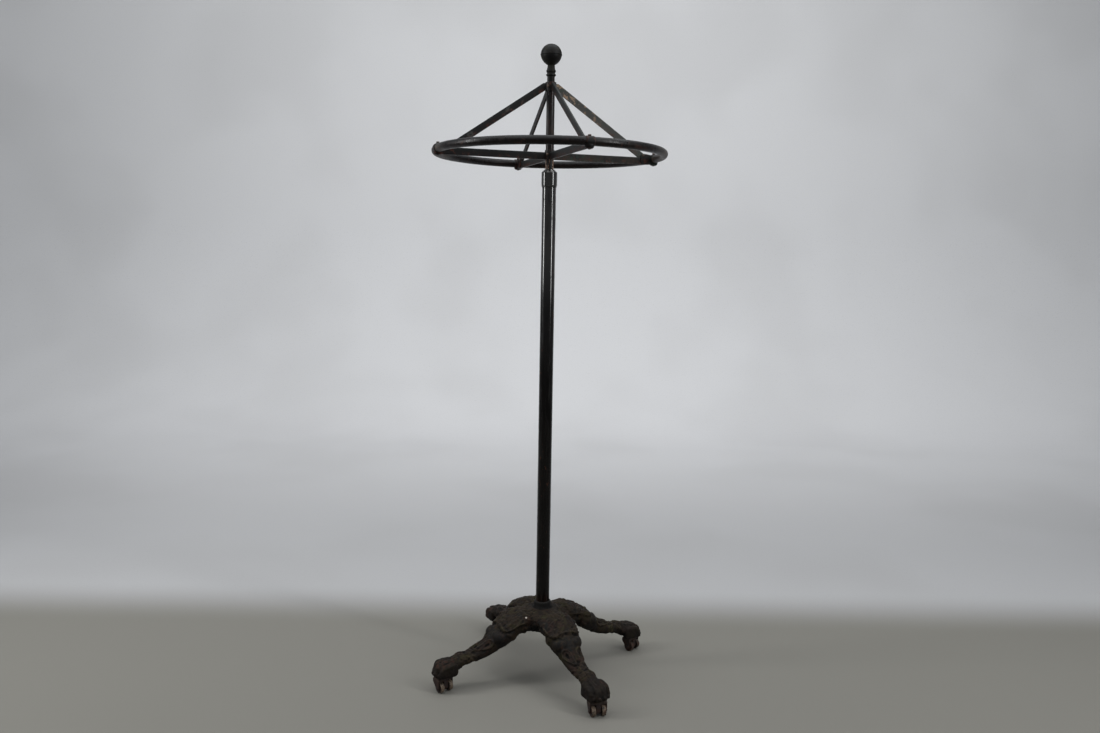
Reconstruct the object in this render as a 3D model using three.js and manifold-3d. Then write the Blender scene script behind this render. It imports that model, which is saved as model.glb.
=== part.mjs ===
// A standing coat rack. A rail ring on four braced arms turns with a stem in the top of a pole.
// The pole stands in a cast-iron base with four lion's legs, and each paw has a twin-wheel caster.
// Millimetres, +Z up, the pole's axis on Z and the floor at z = 0.
import * as THREE from 'three';
import { mergeVertices } from 'three/addons/utils/BufferGeometryUtils.js';
import Module from 'manifold-3d';

const wasm = await Module();
wasm.setup();

const { clamp, degToRad, lerp, radToDeg, smoothstep } = THREE.MathUtils;

// Driving dimensions
const GAP = 0.3; // between pieces that touch
const TURN = Math.PI / 2; // four legs and four arms, a quarter turn apart
const FIRST_LEG = degToRad(28.5);
const FIRST_ARM = degToRad(18);

const PAW_SOLE = 46.3; // flat underside of each paw, above the floor
const CASTER_RADIUS = 304; // from the pole's axis to each caster's pin
const WHEEL_RADIUS = 15;
const PIN_TOP = 70; // each caster's pin ends here, inside the paw
const CASTER_TRAIL = 7; // the axle runs this far beside the pin
const CASTER_TURNS = [50, 110, 42, 16].map(degToRad); // each axle's direction, seen from above

const POLE_RADIUS = 19;
const POLE_BORE = 15.5;
const POLE_FOOT = 132;
const HUB_CEILING = 156; // flat roof inside the base, where the lock nut pulls
const BOSS_TOP = 204;
const FERRULE_TOP = 1409;
const FERRULE_FOOT = 1361;

const STEM_RADIUS = 11;
const STEM_BORE = 8.5;
const STEM_FOOT = 1236;
const STEM_TOP = 1638.5;

const RAIL_RADIUS = 305; // centre line of the ring
const RAIL_TUBE = 11;
const RAIL_BORE = 9.4;
const RAIL_HEIGHT = 1450.3;
const RAIL_SPLIT = degToRad(192.3); // where the bent tube's two ends meet

const ARM_DEPTH = 19; // flat bar, standing on its edge
const ARM_THICK = 6;
const ARM_TOP = RAIL_HEIGHT + 3.2;
const BRACE_DEPTH = 18;
const BRACE_THICK = 5;
const BRACE_TOP = 1634;
const BRACE_FOOT = 288; // where the brace's upper edge lands on the arm
const COLLAR_RADIUS = 14.7;

const BALL_RADIUS = 28.3;
const BALL_CENTRE = 1708.5;

const finish = {
  castIron: { color: 0x2c2622, roughness: 0.62, metalness: 0.55 },
  blackPaint: { color: 0x15110f, roughness: 0.28, metalness: 0.35 },
  wornBar: { color: 0x44362b, roughness: 0.5, metalness: 0.6 },
  wornRail: { color: 0x2a211c, roughness: 0.42, metalness: 0.55 },
  bareSteel: { color: 0x7d776c, roughness: 0.45, metalness: 0.9 },
  rustyIron: { color: 0x4a2f24, roughness: 0.8, metalness: 0.4 },
  wornWheel: { color: 0x57544a, roughness: 0.7, metalness: 0.3 },
};

const rack = new THREE.Group();

// Adds one named piece to the rack, or to the group that carries it.
function place(name, geometry, look, turn = 0, carrier = rack) {
  const piece = new THREE.Mesh(geometry, new THREE.MeshStandardMaterial(look));
  piece.name = name;
  piece.rotation.z = turn;
  carrier.add(piece);
  return piece;
}

// A profile of [radius, height] points, turned about Z. It starts and ends on the axis,
// or closes on itself as a ring. A flat facet faces +X and -X, +Y and -Y.
function turned(profile, segments = 24) {
  const outline = profile.map(([radius, height]) => new THREE.Vector2(radius, height));
  if (THREE.ShapeUtils.isClockWise(outline)) outline.reverse();
  if (outline[0].x > 0) outline.push(outline[0].clone());
  return new THREE.LatheGeometry(outline, segments, Math.PI / segments).rotateX(Math.PI / 2);
}

function disc(radius, low, high, segments = 24) {
  return turned([[0, low], [radius, low], [radius, high], [0, high]], segments);
}

function tube(bore, radius, low, high, segments = 24) {
  return turned([[bore, low], [radius, low], [radius, high], [bore, high]], segments);
}

function block(width, depth, low, high, x = 0, y = 0) {
  return new THREE.BoxGeometry(width, depth, high - low).translate(x, y, (low + high) / 2);
}

// A flat plate on edge: its outline is [distance from the pole's axis, height], and it is
// centred on the plane y = 0.
function plate(outline, thickness) {
  const shape = new THREE.Shape(outline.map(([out, height]) => new THREE.Vector2(out, height)));
  return new THREE.ExtrudeGeometry(shape, { depth: thickness, bevelEnabled: false })
    .translate(0, 0, -thickness / 2)
    .rotateX(Math.PI / 2);
}

// Closed geometry to a solid that can be joined and cut, and back again.
function solid(geometry) {
  const bare = new THREE.BufferGeometry();
  bare.setAttribute('position', geometry.getAttribute('position'));
  bare.setIndex(geometry.getIndex());
  const welded = mergeVertices(bare, 1e-4);
  const vertProperties = new Float32Array(welded.getAttribute('position').array);
  const triVerts = new Uint32Array(welded.getIndex().array);
  return new wasm.Manifold(new wasm.Mesh({ numProp: 3, vertProperties, triVerts }));
}

function skinOf(body) {
  const mesh = body.getMesh();
  const geometry = new THREE.BufferGeometry();
  geometry.setAttribute('position', new THREE.BufferAttribute(mesh.vertProperties, 3));
  geometry.setIndex(new THREE.BufferAttribute(mesh.triVerts, 1));
  geometry.computeVertexNormals();
  return geometry;
}

function joined(...geometries) {
  return geometries.map(solid).reduce((whole, next) => whole.add(next));
}

function cut(body, ...tools) {
  return tools.reduce((rest, tool) => rest.subtract(solid(tool)), body);
}

// ---------------------------------------------------------------- base casting

// The line of one lion's leg, in the plane y = 0. Each station is the middle of an oval
// section: out from the axis, height, half width, half thickness.
const LEG_STATIONS = [
  { out: 8, height: 160, half: 46, thick: 28 },
  { out: 45, height: 160, half: 48, thick: 29 },
  { out: 76, height: 157, half: 50, thick: 28 },
  { out: 98, height: 151.5, half: 50, thick: 25 },
  { out: 119, height: 133.5, half: 48, thick: 30 },
  { out: 140, height: 116, half: 39, thick: 28 },
  { out: 166, height: 101.5, half: 30, thick: 21.5 },
  { out: 194, height: 89, half: 27, thick: 18 },
  { out: 224, height: 82, half: 21, thick: 16 },
  { out: 251, height: 77, half: 20, thick: 15.5 },
  { out: 275, height: 68, half: 27, thick: 19 },
  { out: 294, height: 65, half: 32, thick: 19.5 },
  { out: 310, height: 63, half: 28, thick: 17 },
  { out: 319, height: 62, half: 14, thick: 8 },
];

// How far the carving stands proud of the leg: a leaf that ends in a lip over the thigh's
// smooth cuff, a mask that starts with a lip below it, and a tuft at the heel.
const LEAF_LIP = 148;
const MASK_LIP = 176;
const HEEL_TUFT = 251;
function relief(out) {
  const leaf = smoothstep(out, 100, LEAF_LIP) - smoothstep(out, LEAF_LIP, LEAF_LIP + 6);
  const mask = smoothstep(out, MASK_LIP - 8, MASK_LIP) - smoothstep(out, MASK_LIP, 222);
  return 6 * leaf + 3 * mask + 3.5 * Math.exp(-(((out - HEEL_TUFT) / 7) ** 2));
}

// The hollow that opens the thigh from below, and runs into the hollow of the hub.
const CORE_STATIONS = [
  { out: 14, height: 126, half: 17, thick: 22 },
  { out: 45, height: 129, half: 22, thick: 26 },
  { out: 76, height: 128, half: 28, thick: 28 },
  { out: 98, height: 122, half: 30, thick: 29 },
  { out: 119, height: 106, half: 29, thick: 29 },
  { out: 140, height: 90, half: 23, thick: 24 },
  { out: 166, height: 79, half: 16, thick: 16 },
  { out: 188, height: 71, half: 6, thick: 8 },
];

// A closed skin carried along a leg's line, with the carving's swell if it has any.
function legSkin(stations, sides, rings, swellAt = () => 0) {
  const line = new THREE.CatmullRomCurve3(
    stations.map(({ out, height }) => new THREE.Vector3(out, 0, height)),
  );
  const girth = new THREE.CatmullRomCurve3(
    stations.map(({ half, thick }) => new THREE.Vector3(half, thick, 0)),
  );
  const skin = new THREE.CylinderGeometry(1, 1, 1, sides, rings);
  const points = skin.getAttribute('position');
  for (let i = 0; i < points.count; i += 1) {
    const along = clamp(points.getY(i) + 0.5, 0, 1);
    const middle = line.getPoint(along);
    const heading = line.getTangent(along);
    const size = girth.getPoint(along);
    const swell = swellAt(middle.x);
    const side = Math.sign(points.getX(i)) * Math.abs(points.getX(i)) ** 0.92;
    const upper = Math.sign(points.getZ(i)) * Math.abs(points.getZ(i)) ** 0.92;
    const lift = upper * (size.y + (upper > 0 ? swell : 0));
    points.setXYZ(
      i,
      middle.x - heading.z * lift,
      -side * (size.x + swell * 0.5),
      middle.z + heading.x * lift,
    );
  }
  return skin;
}

// The four toes of a paw, worn blunt: each an egg with squared ends, tilted nose down.
const TOE_SPACING = 15;
function toes() {
  return [-1.5, -0.5, 0.5, 1.5].map((slot) => {
    const setBack = Math.abs(slot) > 1 ? 8 : 0;
    const toe = new THREE.SphereGeometry(1, 10, 8);
    const points = toe.getAttribute('position');
    for (let i = 0; i < points.count; i += 1) {
      const point = new THREE.Vector3().fromBufferAttribute(points, i);
      const round = Math.cbrt(
        Math.abs(point.x) ** 3 + Math.abs(point.y) ** 3 + Math.abs(point.z) ** 3,
      );
      points.setXYZ(i, ...point.divideScalar(round).toArray());
    }
    return toe.scale(27, 10.2, 19.5)
      .rotateY(degToRad(8))
      .translate(305 - setBack, slot * TOE_SPACING, 62.5);
  });
}

// The middle of the casting: a domed saddle that swells towards each leg, with a flared boss.
function saddle() {
  const dome = turned([
    [0, 133], [50, 133], [53, 146], [58, 150], [57, 164], [50, 178], [40, 188],
    [33, 193], [27.5, 197], [25, BOSS_TOP], [0, BOSS_TOP],
  ], 48);
  const points = dome.getAttribute('position');
  for (let i = 0; i < points.count; i += 1) {
    const angle = Math.atan2(points.getY(i), points.getX(i));
    const towardsLeg = (0.5 + 0.5 * Math.cos(4 * (angle - FIRST_LEG))) ** 1.5;
    const radius = Math.hypot(points.getX(i), points.getY(i));
    const spread = 1 + 0.55 * towardsLeg * smoothstep(radius, 30, 50);
    points.setX(i, points.getX(i) * spread);
    points.setY(i, points.getY(i) * spread);
  }
  return dome;
}

const pinSocket = disc(4.3, PAW_SOLE - 5, PIN_TOP + 1, 12).translate(CASTER_RADIUS, 0, 0);
const underPaw = block(120, 120, 20, PAW_SOLE, 320);
const legCore = legSkin(CORE_STATIONS, 12, 12);
const leg = cut(joined(legSkin(LEG_STATIONS, 16, 30, relief), ...toes()), underPaw);

let base = solid(saddle());
const quarterTurns = [0, 1, 2, 3];
quarterTurns.forEach((quarter) => {
  base = base.add(leg.rotate([0, 0, radToDeg(FIRST_LEG + quarter * TURN)]));
});
quarterTurns.forEach((quarter) => {
  const turn = FIRST_LEG + quarter * TURN;
  base = cut(base, legCore.clone().rotateZ(turn), pinSocket.clone().rotateZ(turn));
});
base = cut(
  base,
  turned([[0, 90], [43, 90], [43, 148], [37, HUB_CEILING], [0, HUB_CEILING]], 32),
  disc(POLE_RADIUS + GAP, 120, 220, 40),
);
place('base_casting', skinOf(base), finish.castIron);

// ---------------------------------------------------------------- pole and stem

place('pole', tube(POLE_BORE, POLE_RADIUS, POLE_FOOT, FERRULE_TOP - 20, 32), finish.blackPaint);
place(
  'pole_washer',
  tube(POLE_RADIUS + GAP, 30, HUB_CEILING - GAP - 3, HUB_CEILING - GAP),
  finish.rustyIron,
);
place(
  'pole_lock_nut',
  skinOf(cut(
    solid(disc(29, 139, HUB_CEILING - 2 * GAP - 3, 6)),
    disc(POLE_RADIUS + GAP, 130, 160, 40),
  )),
  finish.rustyIron,
);

place('pole_ferrule', turned([
  [POLE_RADIUS + GAP, FERRULE_FOOT], [20.4, FERRULE_FOOT], [20.8, FERRULE_FOOT + 3],
  [21.3, FERRULE_FOOT + 3.6], [21.3, 1400], [20.8, 1401.5], [13.2, FERRULE_TOP],
  [STEM_RADIUS + GAP, FERRULE_TOP], [STEM_RADIUS + GAP, FERRULE_TOP - 19.7],
  [POLE_RADIUS + GAP, FERRULE_TOP - 19.7],
], 28), finish.blackPaint);

// A cup pressed inside the pole: the stem's end turns on its floor and its short spigot.
place('stem_bearing', turned([
  [0, 1222], [POLE_BORE - GAP, 1222], [POLE_BORE - GAP, 1270], [STEM_RADIUS + GAP, 1270],
  [STEM_RADIUS + GAP, STEM_FOOT - GAP], [STEM_BORE - GAP, STEM_FOOT - GAP],
  [STEM_BORE - GAP, 1252], [0, 1252],
]), finish.bareSteel);

place('stem', tube(STEM_BORE, STEM_RADIUS, STEM_FOOT, STEM_TOP, 28), finish.wornRail);

// ---------------------------------------------------------------- hub, collar and arms

const SCREW_SIDE = degToRad(-27); // set screws sit between two of the bars

// A ring pinned to the stem, slotted from below for four flat bars.
function slottedRing(radius, low, high, slotTop, slotWidth) {
  const slots = quarterTurns.map((quarter) => block(30, slotWidth, low - 5, slotTop, 22)
    .rotateZ(FIRST_ARM + quarter * TURN));
  const screwHole = disc(2.5, 0, 30, 8).rotateX(Math.PI / 2);
  const middle = (low + high) / 2;
  return cut(
    solid(tube(STEM_RADIUS + GAP, radius, low, high)),
    ...slots,
    screwHole.rotateZ(SCREW_SIDE).translate(0, 0, middle),
  );
}

// Round-headed set screw that presses on the stem.
function setScrew(radius, height) {
  return turned([
    [0, -STEM_RADIUS - 2 * GAP], [2.2, -STEM_RADIUS - 2 * GAP], [2.2, -radius - GAP],
    [3.8, -radius - GAP], [3.5, -radius - 1.8], [1.8, -radius - 2.8], [0, -radius - 3],
  ], 10).rotateX(-Math.PI / 2).rotateZ(SCREW_SIDE).translate(0, 0, height);
}

const ARM_FOOT = ARM_TOP - ARM_DEPTH;
place(
  'lower_hub',
  skinOf(slottedRing(13.4, ARM_FOOT + 1, ARM_TOP + 6, ARM_TOP + GAP, ARM_THICK + 2 * GAP)),
  finish.wornBar,
);
place(
  'upper_collar',
  skinOf(slottedRing(
    COLLAR_RADIUS, BRACE_TOP - 21, BRACE_TOP + 3, BRACE_TOP + GAP, BRACE_THICK + 2 * GAP,
  )),
  finish.wornBar,
);
place('lower_hub_screw', setScrew(13.4, ARM_TOP + 3.5 - ARM_DEPTH / 2), finish.bareSteel);
place('upper_collar_screw', setScrew(COLLAR_RADIUS, BRACE_TOP - 9), finish.bareSteel);

const barRoot = STEM_RADIUS + 2 * GAP;
const BRACE_HEAD = 21; // the brace's level top edge ends here, and its slope starts
const railInside = RAIL_RADIUS - RAIL_TUBE;
const armBar = plate([
  [barRoot, ARM_FOOT], [railInside - 4, ARM_FOOT], [railInside - 4, ARM_TOP], [barRoot, ARM_TOP],
], ARM_THICK);

// The brace slopes from the collar to the arm, and its foot is cut to lie on the arm.
const footHeight = ARM_TOP + GAP;
const braceSlope = (BRACE_TOP - footHeight) / (BRACE_FOOT - BRACE_HEAD);
const braceRise = BRACE_DEPTH * Math.hypot(1, braceSlope);
const RIVET = { out: 271, height: ARM_TOP + 5.6 };
const rivetHole = disc(2.4, -20, 20, 10).rotateX(Math.PI / 2).translate(RIVET.out, 0, RIVET.height);
const braceBar = skinOf(cut(solid(plate([
  [barRoot, BRACE_TOP - 20], [16.5, BRACE_TOP + 4.5 * braceSlope - braceRise],
  [BRACE_FOOT - braceRise / braceSlope, footHeight], [BRACE_FOOT, footHeight],
  [BRACE_HEAD, BRACE_TOP], [barRoot, BRACE_TOP],
], BRACE_THICK)), rivetHole));

// ---------------------------------------------------------------- rail ring

class RailArc extends THREE.Curve {
  constructor(start, sweep) {
    super();
    this.start = start;
    this.sweep = sweep;
  }

  getPoint(part, target = new THREE.Vector3()) {
    const angle = this.start + part * this.sweep;
    return target.set(RAIL_RADIUS * Math.cos(angle), RAIL_RADIUS * Math.sin(angle), RAIL_HEIGHT);
  }
}

function alongRail(start, sweep, radius, bore, steps, sides) {
  const section = new THREE.Shape().absarc(0, 0, radius, 0, Math.PI * 2);
  if (bore > 0) section.holes.push(new THREE.Path().absarc(0, 0, bore, 0, Math.PI * 2));
  return new THREE.ExtrudeGeometry(section, {
    steps, curveSegments: sides, bevelEnabled: false, extrudePath: new RailArc(start, sweep),
  });
}

const splitWidth = 1.2 / RAIL_RADIUS;
const boltHole = disc(3.4, RAIL_HEIGHT - 20, RAIL_HEIGHT + 20, 10).translate(RAIL_RADIUS, 0, 0);
const rail = cut(
  solid(alongRail(RAIL_SPLIT + splitWidth / 2, 2 * Math.PI - splitWidth, RAIL_TUBE, RAIL_BORE, 48, 6)),
  ...quarterTurns.map((quarter) => boltHole.clone().rotateZ(FIRST_ARM + quarter * TURN)),
);
place('rail_ring', skinOf(rail), finish.wornRail);

const spliceReach = 20 / RAIL_RADIUS;
place(
  'rail_splice',
  alongRail(RAIL_SPLIT - spliceReach, 2 * spliceReach, RAIL_BORE - 1.4, 0, 4, 5),
  finish.rustyIron,
);

const SLEEVE = 2.5; // the clamp's wall, with the clearance inside it
const BOSS_DEPTH = 19; // from the rail's centre line to the flat under the clamp's boss
const MOUTH_END = railInside - 3.5; // the slot for arm and brace stops short of the sleeve

// A sleeve round the rail with a round boss below it, and two cheeks that hold the arm's end
// and the brace's foot.
function railClamp() {
  const sleeve = turned([
    [0, -12], [RAIL_TUBE + SLEEVE - 0.8, -12], [RAIL_TUBE + SLEEVE, -9.5],
    [RAIL_TUBE + SLEEVE, 9.5], [RAIL_TUBE + SLEEVE - 0.8, 12], [0, 12],
  ], 16).rotateX(Math.PI / 2).translate(RAIL_RADIUS, 0, RAIL_HEIGHT);
  const boss = turned([
    [0, -BOSS_DEPTH], [7.5, -BOSS_DEPTH], [10.8, -BOSS_DEPTH + 2.6], [12.4, -8], [0, -8],
  ], 16).translate(RAIL_RADIUS, 0, RAIL_HEIGHT);
  const opening = disc(RAIL_TUBE + 1.1, -14, 14, 16).rotateX(Math.PI / 2)
    .translate(RAIL_RADIUS, 0, RAIL_HEIGHT);
  const cheeks = plate([
    [264, ARM_TOP - 12], [269, ARM_FOOT + 1], [RAIL_RADIUS - 8, ARM_FOOT + 1],
    [RAIL_RADIUS - 8, ARM_TOP + 7], [275, ARM_TOP + 10], [267, ARM_TOP + 9], [264, ARM_TOP + 4],
  ], ARM_THICK + 2 * GAP + 4.4);
  const mouth = block(60, ARM_THICK + 2 * GAP, ARM_FOOT - 10, ARM_TOP + 20, MOUTH_END - 30);
  return cut(joined(sleeve, boss, cheeks), mouth, opening, boltHole, rivetHole);
}

// The bolt through clamp and rail: button head above, its end hammered over below the boss.
const clampTop = RAIL_TUBE + SLEEVE + GAP;
const railBolt = turned([
  [0, -BOSS_DEPTH - 2.4], [2.8, -BOSS_DEPTH - 2], [4.4, -BOSS_DEPTH - GAP],
  [3, -BOSS_DEPTH - GAP], [3, clampTop], [4.8, clampTop], [3.6, clampTop + 1.4],
  [0, clampTop + 1.9],
], 10).translate(RAIL_RADIUS, 0, RAIL_HEIGHT);

// A rivet with a round head on each cheek.
const rivetHead = ARM_THICK / 2 + GAP + 2.2 + GAP;
const braceRivet = turned([
  [0, -rivetHead - 1.8], [2.4, -rivetHead - 1.5], [3.8, -rivetHead], [2, -rivetHead],
  [2, rivetHead], [3.8, rivetHead], [2.4, rivetHead + 1.5], [0, rivetHead + 1.8],
], 8).rotateX(Math.PI / 2).translate(RIVET.out, 0, RIVET.height);

const clampSkin = skinOf(railClamp());
quarterTurns.forEach((quarter) => {
  const turn = FIRST_ARM + quarter * TURN;
  const number = quarter + 1;
  place(`arm_${number}`, armBar, finish.wornBar, turn);
  place(`brace_${number}`, braceBar, finish.wornBar, turn);
  place(`rail_clamp_${number}`, clampSkin, finish.wornRail, turn);
  place(`rail_bolt_${number}`, railBolt, finish.wornBar, turn);
  place(`brace_rivet_${number}`, braceRivet, finish.wornBar, turn);
});

// ---------------------------------------------------------------- finial

// A short column with two beads, a narrow neck and a stud, on a spigot inside the stem.
place('finial_neck', turned([
  [0, 1612], [STEM_BORE - GAP, 1612], [STEM_BORE - GAP, STEM_TOP + GAP], [10, STEM_TOP + GAP],
  [10, 1655], [12.4, 1657.2], [12.4, 1659], [10.4, 1662], [12.2, 1665.4], [12.2, 1667.6],
  [9.8, 1671], [8.4, 1676], [9.4, 1680.2], [5.6, 1680.2], [5.6, 1688], [0, 1688],
], 20), finish.blackPaint);

// Points along an arc of the ball's outside or inside, between two angles from its equator.
// Below the equator the ball narrows a little towards its neck.
function ballArc(radius, from, to, count) {
  return Array.from({ length: count + 1 }, (_, step) => {
    const angle = degToRad(lerp(from, to, step / count));
    const narrow = angle < 0 ? 1 + 0.09 * Math.sin(angle) : 1;
    return [narrow * radius * Math.cos(angle), BALL_CENTRE + radius * Math.sin(angle)];
  });
}

const WALL = 1.6;
const SEAM_RADIUS = BALL_RADIUS + 0.6;
const seam = BALL_CENTRE + GAP / 2;
place('ball_upper_shell', turned([
  [SEAM_RADIUS, seam], [SEAM_RADIUS, seam + 0.9],
  ...ballArc(BALL_RADIUS, 5, 84, 6), [0, BALL_CENTRE + BALL_RADIUS],
  [0, BALL_CENTRE + BALL_RADIUS - WALL], ...ballArc(BALL_RADIUS - WALL, 75, 5, 4),
  [BALL_RADIUS - WALL, seam],
], 24), finish.blackPaint);
place('ball_lower_shell', turned([
  [SEAM_RADIUS, seam - GAP], [BALL_RADIUS - WALL, seam - GAP],
  ...ballArc(BALL_RADIUS - WALL, -5, -66, 4), [6, 1683.2], [6, 1680.6], [9.2, 1680.6],
  ...ballArc(BALL_RADIUS, -65, -5, 5), [SEAM_RADIUS, seam - GAP - 0.9],
], 24), finish.blackPaint);

// ---------------------------------------------------------------- casters

const AXLE = { radius: 3, eye: 6, block: 9.5, inner: 20.9, outer: 23.9 };
const WHEEL_OFFSET = 14; // from the pin to the middle of each wheel
const CROWN_FOOT = 32;
const CROWN_TOP = 41;

// Round plate screwed under the paw, that the yoke turns against.
const casterPlate = tube(4.4, 17, CROWN_TOP + GAP, PAW_SOLE - GAP, 16);

// The pin goes from the yoke's bearing block up through the plate into the paw.
const PIN_FOOT = 25;
const casterPin = turned([
  [0, PIN_FOOT + GAP], [3.4, PIN_FOOT + GAP], [4, PIN_FOOT + 1], [4, PIN_TOP], [0, PIN_TOP],
], 10);

// Points round the underside of something that the axle goes through.
function roundAxle(radius) {
  return Array.from({ length: 8 }, (_, step) => {
    const angle = degToRad(195 + 24 * step);
    return [CASTER_TRAIL + radius * Math.cos(angle), WHEEL_RADIUS + radius * Math.sin(angle)];
  });
}

// An upside-down U over the wheels, whose two legs lean back to round eyes on the axle. A
// bearing block for pin and axle hangs between the wheels.
function casterYoke() {
  const side = plate([
    [-13, CROWN_TOP - 3], [-13, CROWN_FOOT - 2], ...roundAxle(AXLE.eye), [14, 27],
    [14, CROWN_TOP - 3], [11, CROWN_TOP], [-10, CROWN_TOP],
  ], 2 * AXLE.outer);
  const hanger = plate([
    [-9, CROWN_FOOT + 2], [-9, 21], ...roundAxle(AXLE.block), [15, CROWN_FOOT + 2],
  ], 2 * (WHEEL_OFFSET - 7.2));
  const room = plate([[-30, -5], [30, -5], [30, CROWN_FOOT], [-30, CROWN_FOOT]], 2 * AXLE.inner);
  const axleHole = disc(AXLE.radius + 0.4, -30, 30, 10).rotateX(Math.PI / 2)
    .translate(CASTER_TRAIL, 0, WHEEL_RADIUS);
  const shell = skinOf(cut(solid(side), room));
  return cut(joined(shell, hanger), axleHole, disc(4.4, PIN_FOOT, 50, 10));
}

// The axle's ends are hammered over outside the eyes.
const casterAxle = turned([
  [0, -26], [4.4, -24.6], [4.6, -AXLE.outer - GAP], [AXLE.radius, -AXLE.outer - GAP],
  [AXLE.radius, AXLE.outer + GAP], [4.6, AXLE.outer + GAP], [4.4, 24.6], [0, 26],
], 8).rotateX(Math.PI / 2).translate(CASTER_TRAIL, 0, WHEEL_RADIUS);

// A wheel whose flat facets touch the floor, on its side of the bearing block.
function casterWheel(side) {
  const rim = WHEEL_RADIUS / Math.cos(Math.PI / 16);
  return turned([
    [3.5, -6.4], [6.5, -6.4], [8, -5.6], [rim - 1.2, -5.6], [rim, -4.4], [rim, 4.4],
    [rim - 1.2, 5.6], [3.5, 6.2],
  ], 16).rotateX(Math.PI / 2).translate(CASTER_TRAIL, side * WHEEL_OFFSET, WHEEL_RADIUS);
}

const yokeSkin = skinOf(casterYoke());
CASTER_TURNS.forEach((axleTurn, quarter) => {
  const turn = FIRST_LEG + quarter * TURN;
  const caster = new THREE.Group();
  caster.position.set(CASTER_RADIUS * Math.cos(turn), CASTER_RADIUS * Math.sin(turn), 0);
  rack.add(caster);
  const name = `caster_${quarter + 1}`;
  const swivel = axleTurn - Math.PI / 2;
  place(`${name}_plate`, casterPlate, finish.rustyIron, turn, caster);
  place(`${name}_pin`, casterPin, finish.rustyIron, turn, caster);
  place(`${name}_yoke`, yokeSkin, finish.rustyIron, swivel, caster);
  place(`${name}_axle`, casterAxle, finish.rustyIron, swivel, caster);
  place(`${name}_wheel_left`, casterWheel(1), finish.wornWheel, swivel, caster);
  place(`${name}_wheel_right`, casterWheel(-1), finish.wornWheel, swivel, caster);
});

export default rack;
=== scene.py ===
import math

import bmesh
import bpy
import mathutils
import numpy as np
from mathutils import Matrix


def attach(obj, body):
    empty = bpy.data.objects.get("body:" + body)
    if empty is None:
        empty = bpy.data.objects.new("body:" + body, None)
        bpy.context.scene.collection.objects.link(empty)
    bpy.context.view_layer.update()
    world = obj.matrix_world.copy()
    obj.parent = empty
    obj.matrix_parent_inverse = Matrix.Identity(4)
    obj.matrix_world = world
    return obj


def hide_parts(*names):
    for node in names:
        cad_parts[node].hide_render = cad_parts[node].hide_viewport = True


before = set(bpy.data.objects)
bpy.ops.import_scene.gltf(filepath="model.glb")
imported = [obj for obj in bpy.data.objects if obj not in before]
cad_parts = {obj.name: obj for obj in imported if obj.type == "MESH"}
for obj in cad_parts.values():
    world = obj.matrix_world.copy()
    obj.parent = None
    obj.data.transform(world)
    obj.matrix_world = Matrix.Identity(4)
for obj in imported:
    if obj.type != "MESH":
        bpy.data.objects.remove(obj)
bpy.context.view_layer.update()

# ---------------- cast base
# One grey-iron casting, poured in sand: a domed saddle with a boss for the pole, and four lion's
# legs. A scalloped leaf hangs from the saddle over each thigh, two cushions make the knee, a mask
# lies on each shin, and each paw has four toes worn blunt. It is hollow below, and brown with age.

MM = 0.001
FULL = 2 * math.pi
QUARTER = FULL / 4
GAP = 0.3  # between pieces that touch
FIRST_LEG = math.radians(28.5)
POLE_RADIUS = 19
BORE = POLE_RADIUS + GAP
BOSS_TOP = 204
HUB_CEILING = 156  # flat roof inside, where the washer pulls
PAW_SOLE = 46.3
PIN_RADIUS, PIN_TOP = 4, 70
PIN_CIRCLE = 304
PINS = [FIRST_LEG + leg * QUARTER for leg in range(4)]  # the way from the pole to each pin
CHIP = (-45, -69, 176)  # a pale chip's place on the saddle
TOE_PITCH = 14.4
FINE_GRID = 1.95  # the casting's skin is remade at this size

# Along a leg, from the pole's axis: out, height, half width and half thickness of its section.
LEG_LINE = np.array([
    (8, 160, 46, 28), (45, 160, 48, 29), (76, 157, 50, 28), (98, 151.5, 50, 25),
    (119, 133.5, 48, 30), (140, 116, 39, 28), (166, 101.5, 30, 21.5), (194, 89, 27, 18),
    (224, 82, 21, 16), (251, 77, 20, 15.5), (275, 68, 27, 19), (294, 65, 32, 19.5),
    (310, 63, 28, 17), (319, 62, 14, 8),
], float)
CORE_LINE = np.array([
    (14, 126, 17, 22), (45, 129, 22, 26), (76, 128, 28, 28), (98, 122, 30, 29),
    (119, 106, 29, 29), (140, 90, 23, 24), (166, 79, 16, 16), (188, 71, 6, 8),
], float)


def through(points, parts):
    """The smooth line through some points, at parts of the way along it from 0 to 1."""
    ends = [2 * points[0] - points[1]], [2 * points[-1] - points[-2]]
    row = np.concatenate([ends[0], points, ends[1]])
    reach = np.linalg.norm(np.diff(row, axis=0), axis=1) ** 0.5
    place = np.clip(parts, 0, 1) * (len(points) - 1)
    leg = np.minimum(place.astype(int), len(points) - 2)
    a, b, c, d = (row[leg + step] for step in range(4))
    before, here, after = (reach[leg + step][:, None] for step in range(3))
    leave = ((b - a) / before - (c - a) / (before + here) + (c - b) / here) * here
    arrive = ((c - b) / here - (d - b) / (here + after) + (d - c) / after) * here
    t = (place - leg)[:, None]
    bend = -3 * b + 3 * c - 2 * leave - arrive
    twist = 2 * b - 2 * c + leave + arrive
    return b + leave * t + bend * t**2 + twist * t**3


def ease(low, high, value):
    """0 below low, 1 above high, and a soft step between them. High may be the smaller."""
    t = np.clip((value - low) / (high - low), 0, 1)
    return t * t * (3 - 2 * t)


def hump(value, middle, width):
    return np.exp(-(((value - middle) / width) ** 2))


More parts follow.
